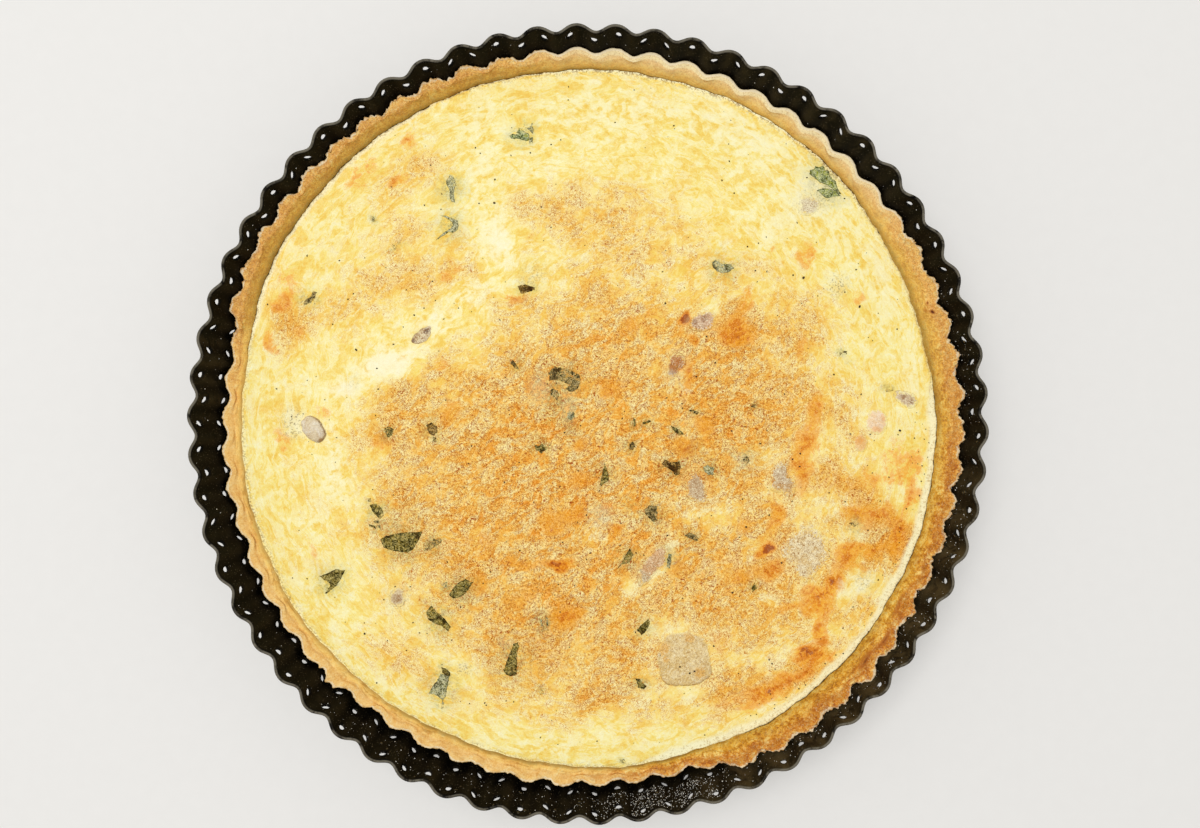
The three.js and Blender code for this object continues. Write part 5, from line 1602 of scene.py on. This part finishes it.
def speck(bm, dice, place, size, up=None):  # one small rough grain, lying flat on up
    made = bmesh.ops.create_icosphere(bm, subdivisions=1, radius=0.5)
    for vert in made["verts"]:
        vert.co *= dice.uniform(0.75, 1.15)
    turn = Matrix.Rotation(dice.uniform(0, fullTurn), 4, "Z")
    if up is not None:
        turn = Vector(up).to_track_quat("Z", "Y").to_matrix().to_4x4() @ turn
    scale = Matrix.Diagonal((size, size * dice.uniform(0.45, 0.95), size * 0.6, 1))
    bmesh.ops.transform(bm, verts=made["verts"], matrix=Matrix.Translation(Vector(place)) @ turn @ scale)


def makePepper():
    dice = random.Random(pepper["seed"])
    spots = list(pepper["grains"])
    while len(spots) < len(pepper["grains"]) + pepper["scattered"]:
        x, y = [dice.uniform(-pepper["reach"], pepper["reach"]) for _ in range(2)]
        if math.hypot(x, y) * mm < fillingEdge(math.atan2(y, x)) - pepper["margin"]:
            spots.append((x, y, dice.choice(pepper["sizes"])))
    for _ in range(pepper["onBand"]):
        angle = math.radians(dice.uniform(*pepper["band"]))
        radius = fillingEdge(angle) / mm - dice.uniform(*pepper["bandMargin"])
        size = dice.uniform(*pepper["bandSizes"])
        spots.append((radius * math.cos(angle), radius * math.sin(angle), size))
    spots = np.array(spots) * mm
    height = custardHeight(spots[:, 0], spots[:, 1])
    onScallop = within(outlines["scallop"], spots[:, 0], spots[:, 1]) < 0.9
    bm = bmesh.new()
    for k, (x, y, size) in enumerate(spots):
        lift = size * (0.2 if k < len(pepper["grains"]) else 0.1)
        if onScallop[k]:
            lift += seafood["scallop"]["proud"] * mm
        speck(bm, dice, (x, y, height[k] + lift), size * pepper["plump"])
    finish = speckFinish("ground pepper", *pepper["colours"], 0.6)
    piece("pepper", finished(bm, "pepper"), finish, smooth=False)


makePepper()
print("pepper done")


# Crumbs and beads of grease on the inside of the tin's wall
litter = {
    "seed": 23,
    # start and stop in degrees, how many
    "crumbs": ((226, 268, 110), (268, 272, 40), (272, 276, 90), (276.3, 281.7, 270), (281.7, 284, 60),
               (284, 289, 210), (289, 292, 40), (292, 352, 200), (0, 24, 60), (24, 225, 70)),
    "crumbHeights": (23.5, 33.5),  # mm
    "crumbSizes": (0.2, 0.25, 0.3, 0.38, 0.5),
    "crumbColours": ((176, 172, 162), (244, 242, 236)),
    "beads": ((236, 300, 60), (300, 352, 90), (352, 378, 24)),
    "beadHeights": (24, 34),
    "beadSizes": (0.4, 0.6, 0.8, 1.1),
    "grease": (paint(26, 21, 12), paint(60, 50, 30)),
}


def onWall(angle, height):  # a place on the tin's inner face and the way it faces
    step = 0.1 * mm
    radius = insideWall(angle, height)
    place = Vector((radius * math.cos(angle), radius * math.sin(angle), height))
    turned = angle + step / radius
    aside = insideWall(turned, height)
    above = insideWall(angle, height + step)
    along = Vector((aside * math.cos(turned), aside * math.sin(turned), height)) - place
    rising = Vector((above * math.cos(angle), above * math.sin(angle), height + step)) - place
    return place, rising.cross(along).normalized()


def greaseFinish():
    book = Book("grease")
    tone = book.swing(1.5 * mm, 2)
    colour = book.tint(book.between(tone, -0.6, 0.6), *litter["grease"])
    rough = 0.12 + 0.06 * book.between(tone, -0.5, 0.5)
    return book.surface(Base_Color=colour, Roughness=rough, Specular_IOR_Level=0.6)


def spotsOnWall(dice, stretchList, heights):  # places on the wall in turn, and the way the wall faces there
    for start, stop, count in stretchList:
        for _ in range(count):
            angle = math.radians(dice.uniform(start, stop))
            yield onWall(angle, dice.uniform(*heights) * mm)


def makeLitter():
    dice = random.Random(litter["seed"])
    bm = bmesh.new()
    for place, facing in spotsOnWall(dice, litter["crumbs"], litter["crumbHeights"]):
        size = dice.choice(litter["crumbSizes"]) * mm
        speck(bm, dice, place + facing * 0.08 * mm, size, facing)
    finish = speckFinish("crumbs", *litter["crumbColours"], 0.8)
    piece("crumbs", finished(bm, "crumbs"), finish, smooth=False)
    bm = bmesh.new()
    for place, facing in spotsOnWall(dice, litter["beads"], litter["beadHeights"]):
        size = dice.choice(litter["beadSizes"]) * mm
        made = bmesh.ops.create_icosphere(bm, subdivisions=2, radius=0.5)
        turn = facing.to_track_quat("Z", "Y").to_matrix().to_4x4()
        shape = Matrix.Diagonal((size, size * dice.uniform(0.8, 1.1), size * 0.35, 1))
        bmesh.ops.transform(bm, verts=made["verts"], matrix=Matrix.Translation(place) @ turn @ shape)
    piece("greaseBeads", finished(bm, "greaseBeads"), greaseFinish())


makeLitter()
print("crumbs and grease done")
